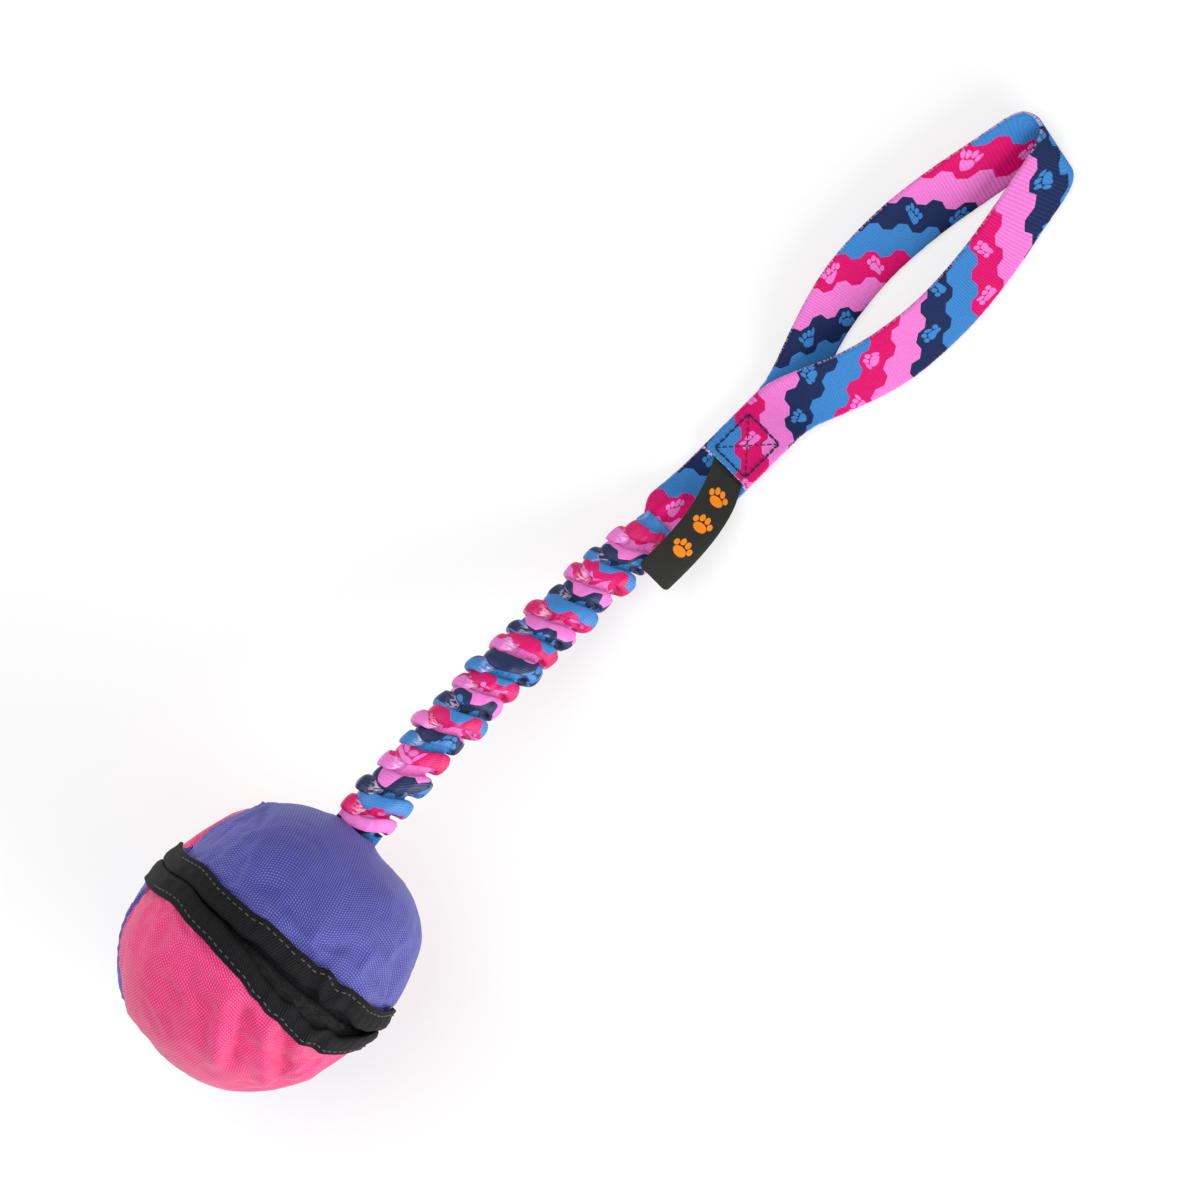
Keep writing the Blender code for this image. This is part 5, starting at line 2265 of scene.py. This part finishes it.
    def build(self, wardrobe: Wardrobe) -> list[Piece]:
        """Builds the strap.

        Args:
            wardrobe: The finishes.

        Returns:
            The pieces.
        """
        section = rounded_strip(self.width / 2, self.thickness / 2, 17)
        v, h = section[:, 0][None], section[:, 1][None]
        narrow = 1.0 - (1.0 - self.neck_width / self.width) * self.gather[:, None]
        narrow *= self.mouth_share[:, None] * (1.0 - self.throat_share) + self.throat_share
        run = lengths_along(self.middle)
        gather, edge = self.gather[:, None], v / (self.width / 2)
        wave = self.wave * ripple(run, self.wave_length, 5)[:, None] * edge * (1 - gather)
        roll = hump(v - self.hump_at, self.hump_reach) * self.neck_hump
        roll = roll - self.neck_dip * hump(v + self.hump_reach, self.hump_reach)
        lift = roll * (smooth(self.gather * 1.6) * self.mouth_share)[:, None]
        lift -= self.neck_cup * edge**4 * gather
        selvedge = np.sign(v) * (np.abs(v) > self.selvedge_from)
        edge_ripple = self.ragged * ripple(run, self.ragged_length, 6)[:, None] * selvedge
        rings = self.middle[:, None] + self.across[:, None] * (v * narrow + edge_ripple)[..., None]
        rings = rings + self.normal[:, None] * (h + wave * 0.6)[..., None]
        rings[..., 2] += lift
        rings[..., 2] = np.maximum(rings[..., 2], self.floor_clear)
        shear = np.sum(self.along * self.across, axis=-1)[:, None]
        across = places_across(section)
        along = run[:, None] + across * shear + self._print_shift()[:, None]
        maker = PieceMaker("webbing_strap")
        maker.add_strip(rings, along, across)
        item = maker.make(wardrobe.webbing, "printed_webbing", 75.0)
        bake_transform(item)
        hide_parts("neck_webbing", "strap_end", "hand_loop")
        return [item, self._fray(wardrobe)]

    def _print_shift(self) -> Array:
        """How far the print lies on from the plain length: it runs ahead up to the tip, and behind after it."""
        x = self.middle[:, 0] - self.base[0] - self.fold_x
        behind = -self.print_behind * (0.4 + 0.6 * smooth((x + 8.0 * MM) / (24.0 * MM)))
        own = 1.0 - 0.5 * smooth((x - self.loop_length + self.tip_ease) / self.tip_ease)
        ahead_share = np.where(np.arange(len(x)) < np.argmax(x), own, 1.0 - own)
        return self.print_ahead * ahead_share + behind * (1.0 - ahead_share)

    def _fray(self, wardrobe: Wardrobe) -> Piece:
        """Short frayed yarns at the strap's cut end, which stand up clear of the label.

        Args:
            wardrobe: The finishes.

        Returns:
            The piece.
        """
        draw = np.random.default_rng(17)
        maker = PieceMaker("frayed_yarns")
        steps = np.linspace(0.0, 1.0, 4)[:, None]
        bow = np.array([0.0, 0.0, 0.25 * MM]) * np.sin(steps * math.pi)
        for _ in range(self.yarns):
            y = self.y + draw.uniform(-0.5, 0.5) * (self.width - 0.6 * MM)
            z = self.top + draw.uniform(-0.4, 0.45) * self.thickness
            root = self.base + np.array([self.cut_x + 0.3 * MM, y, z])
            reach = draw.uniform(0.5, 1.5) * MM
            lean = draw.normal(0.0, 0.5, 2)
            tip = np.array([-1.0, lean[0], lean[1] * 0.5]) * reach
            if abs(y - self.label_y) < self.label_reach:
                tip = np.array([-0.2, lean[0] * 0.5, 0.6]) * reach
            maker.add_strand(root + tip * steps + bow, self.yarn_radius, 4)
        item = maker.make(wardrobe.fray, "printed_webbing")
        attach(item, "neck")
        return item


@dataclass
class BoxStitch:
    """The box and cross of stitches through the strap's sewn-down end."""

    strap: Strap
    length: float = 19.0 * MM
    width: float = 17.0 * MM
    from_cut: float = 2.5 * MM
    thread_radius: float = 0.42 * MM
    stitch: float = 1.9 * MM
    gap: float = 0.75 * MM
    cross_radius: float = 0.24 * MM

    def build(self, wardrobe: Wardrobe) -> list[Piece]:
        """Builds the stitches.

        Args:
            wardrobe: The finishes.

        Returns:
            The pieces.
        """
        strap = self.strap
        surface = strap.top + strap.thickness / 2
        x0 = strap.base[0] + strap.cut_x + self.from_cut
        x1 = x0 + self.length
        y0, y1 = strap.y - self.width / 2, strap.y + self.width / 2
        corners = [np.array(c) for c in ((x0, y0), (x1, y0), (x1, y1), (x0, y1))]
        maker = PieceMaker("box_and_cross_stitches")
        for number in range(4):
            self._row(maker, corners[number], corners[(number + 1) % 4], surface, self.thread_radius)
        self._row(maker, corners[0], corners[2], surface, self.cross_radius)
        self._row(maker, corners[1], corners[3], surface, self.cross_radius)
        item = maker.make(wardrobe.navy_thread, "navy_thread")
        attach(item, "neck")
        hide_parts("box_stitch")
        return [item]

    def _row(self, maker: PieceMaker, start: Array, end: Array, surface: float, radius: float) -> None:
        """Adds one straight row of stitches.

        Args:
            maker: The stitches' maker.
            start: The row's first point, seen from above.
            end: Its last point.
            surface: Height of the webbing's face.
            radius: The thread's radius.
        """
        own_seed = int(1000 * abs(start[0] + 3 * end[1]) * 50)
        draw = np.random.default_rng(own_seed)
        length = float(np.linalg.norm(end - start))
        count = max(1, round(length / (self.stitch + self.gap)))
        pitch = length / count
        line = (end - start) / length
        side = np.array([-line[1], line[0]])
        for number in range(count):
            first = number * pitch + self.gap * 0.5
            places = first + (pitch - self.gap) * np.array([0.0, 0.15, 0.4, 0.6, 0.85, 1.0])
            rise = np.array([-0.5, 0.25, 0.75, 0.75, 0.25, -0.5]) * radius
            stray = draw.normal(0.0, 0.12 * MM, 1) * np.linspace(-1, 1, 6)
            plan = start + line * places[:, None] + side * stray[:, None]
            path = np.concatenate([plan, (surface + rise)[:, None]], axis=1)
            maker.add_strand(path, radius)


@dataclass
class Label:
    """The woven label, sewn in at one end under the strap's cut edge."""

    strap: Strap
    bungee: Bungee
    width: float = 15.5 * MM
    thickness: float = 0.55 * MM
    solid_thickness: float = 0.6 * MM
    run: float = 52.0 * MM
    y: float = 4.5 * MM
    drift: float = -9.0 * MM
    rise_share: float = 1.5
    end_share: float = 0.7
    side_share: float = 0.62
    square_share: float = 0.45
    corner: float = 2.2 * MM
    over_fold: float = 1.5 * MM
    curl: float = 0.9 * MM
    stations: int = 70
    crowding: float = 1.35

    def __post_init__(self) -> None:
        """Works out the label's root."""
        clearance = self.bungee.clearance
        x = self.strap.base[0] + self.strap.cut_x - clearance
        z = self.strap.solid_thickness + clearance + self.solid_thickness / 2
        self.root = np.array([x, self.y, z])

    def line(self, share: Array) -> Array:
        """Points of the label's middle line."""
        bungee = self.bungee
        there = (self.root[0] - self.run - bungee.start[0]) / (bungee.end[0] - bungee.start[0])
        top = float(bungee.line(np.array([there]))[0, 2]) + bungee.rest_half_height
        end = np.array([self.root[0] - self.run, self.y + self.drift, top + self.over_fold + self.solid_thickness / 2])
        rise = (end[2] - self.root[2]) * self.rise_share
        pull = np.array([-self.run, -self.side_share * self.run, rise])
        end_pull = np.array([-self.run, 0.0, 0.0]) * self.end_share
        return cubic(self.root, pull, end, end_pull, share)

    def build(self, wardrobe: Wardrobe) -> list[Piece]:
        """Builds the label.

        Args:
            wardrobe: The finishes.

        Returns:
            The pieces.
        """
        share = 1.0 - np.linspace(1.0, 0.0, self.stations) ** self.crowding
        middle = self.line(share)
        along = unit(self.line(share + 1e-4) - self.line(share - 1e-4))
        across = unit(np.cross(Z_AXIS, along))
        across *= np.sign(across[:, 1:2])
        free = smooth(share / self.square_share)[:, None]
        across = unit(across * free + Y_AXIS * (1.0 - free))
        normal = unit(np.cross(along, across))
        normal *= np.sign(normal[:, 2:3])
        section = rounded_strip(self.width / 2, self.thickness / 2, 11)
        v, h = section[:, 0][None], section[:, 1][None]
        curl = self.curl * (v / (self.width / 2)) ** 2 * smooth((share - 0.15) / 0.5)[:, None]
        run = lengths_along(middle)
        into = np.clip(self.corner - (run[-1] - run), 0.0, self.corner)
        narrow = 1.0 - (self.corner - np.sqrt(self.corner**2 - into**2)) / (self.width / 2)
        rings = middle[:, None] + across[:, None] * (v * narrow[:, None])[..., None]
        rings = rings + normal[:, None] * (h - curl)[..., None]
        maker = PieceMaker("woven_label")
        maker.add_strip(rings, run[:, None], places_across(section))
        item = maker.make(wardrobe.satin, "grey_satin", 60.0)
        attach(item, "label")
        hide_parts("label")
        return [item]


@dataclass
class Studio:
    """The pale floor, the soft lights and the camera straight above."""

    aim_x: float = 185.0 * MM
    aim_y: float = 4.0 * MM
    distance: float = 2.0
    lens: float = 150.0
    sensor: float = 36.0
    floor_size: float = 6.0
    floor_shade: Colour = (0.92, 0.92, 0.92)
    floor_drop: float = 0.3 * MM
    floor_glow: float = 0.62
    key_size: float = 1.1
    key_power: float = 13.4
    fill_power: float = 30.0
    world_strength: float = 0.40

    def build(self) -> None:
        """Builds the studio."""
        scene = bpy.context.scene
        scene.view_settings.view_transform = "Standard"
        self._camera(scene)
        self._floor(scene)
        self._lights(scene)
        self._world(scene)

    def _camera(self, scene: bpy.types.Scene) -> None:
        """The camera, turned so that the toy runs up to the right."""
        data = bpy.data.cameras.new("camera")
        data.lens, data.sensor_width = self.lens, self.sensor
        camera = bpy.data.objects.new("camera", data)
        camera.location = (self.aim_x, self.aim_y, self.distance)
        camera.rotation_euler = (0.0, 0.0, -math.pi / 4)
        scene.collection.objects.link(camera)
        scene.camera = camera

    def _floor(self, scene: bpy.types.Scene) -> None:
        """The floor, which looks white to the camera and keeps the toy's shadow."""
        half = self.floor_size / 2
        mesh = bpy.data.meshes.new("floor")
        corners = [(-half, -half, 0), (half, -half, 0), (half, half, 0), (-half, half, 0)]
        mesh.from_pydata(corners, [], [(0, 1, 2, 3)])
        floor = bpy.data.objects.new("floor", mesh)
        floor.location = (self.aim_x, self.aim_y, -self.floor_drop)
        scene.collection.objects.link(floor)
        graph = Graph("floor_white")
        camera, gloss, glass = graph.camera_rays()
        shown = (camera + gloss + glass) * self.floor_glow
        lit = graph.node("ShaderNodeBsdfDiffuse", {}, {"Color": self.floor_shade})
        white = graph.node("ShaderNodeEmission", {}, {"Color": WHITE, "Strength": 1.0})
        mixed = graph.node("ShaderNodeMixShader", {}, {0: shown, 1: lit, 2: white})
        graph.node("ShaderNodeOutputMaterial", {}, {"Surface": mixed})
        mesh.materials.append(graph.owner)

    def _lights(self, scene: bpy.types.Scene) -> None:
        """A large soft light from the upper left and a weaker one from the other side."""
        aim = Vector((self.aim_x, self.aim_y, 0.0))
        places = (
            ("key_light", Vector((-0.28, 0.60, 1.25)), self.key_power, self.key_size),
            ("fill_light", Vector((0.05, -1.45, 0.50)), self.fill_power, 1.1 * self.key_size),
        )
        for name, offset, power, size in places:
            data = bpy.data.lights.new(name, "AREA")
            data.shape, data.size, data.energy = "SQUARE", size, power
            light = bpy.data.objects.new(name, data)
            light.location = aim + offset
            light.rotation_euler = (-offset).to_track_quat("-Z", "Y").to_euler()
            scene.collection.objects.link(light)

    def _world(self, scene: bpy.types.Scene) -> None:
        """An even pale surrounding, white to the camera."""
        graph = Graph("surround", world=True)
        scene.world = graph.owner
        camera, gloss, glass = graph.camera_rays()
        direct = camera.most(gloss).most(glass)
        strength = direct * (1.0 - self.world_strength) + self.world_strength
        back = graph.node("ShaderNodeBackground", {}, {"Color": WHITE, "Strength": strength})
        graph.node("ShaderNodeOutputWorld", {}, {"Surface": back})


def main() -> None:
    """Builds the studio and the toy, class by class."""
    logging.basicConfig(level=logging.INFO, format="%(name)s: %(message)s")
    Studio().build()
    wardrobe = Wardrobe()
    form, mouth = BallForm(), Mouth()
    bungee = Bungee(form)
    strap = Strap(form, bungee)
    parts = (Ball(form, mouth), Lips(form, mouth), bungee, strap, BoxStitch(strap), Label(strap, bungee))
    for part in parts:
        for piece in part.build(wardrobe):
            log.info("%s: %d faces", piece.name, len(piece.data.polygons))


if __name__ == "__main__":
    main()
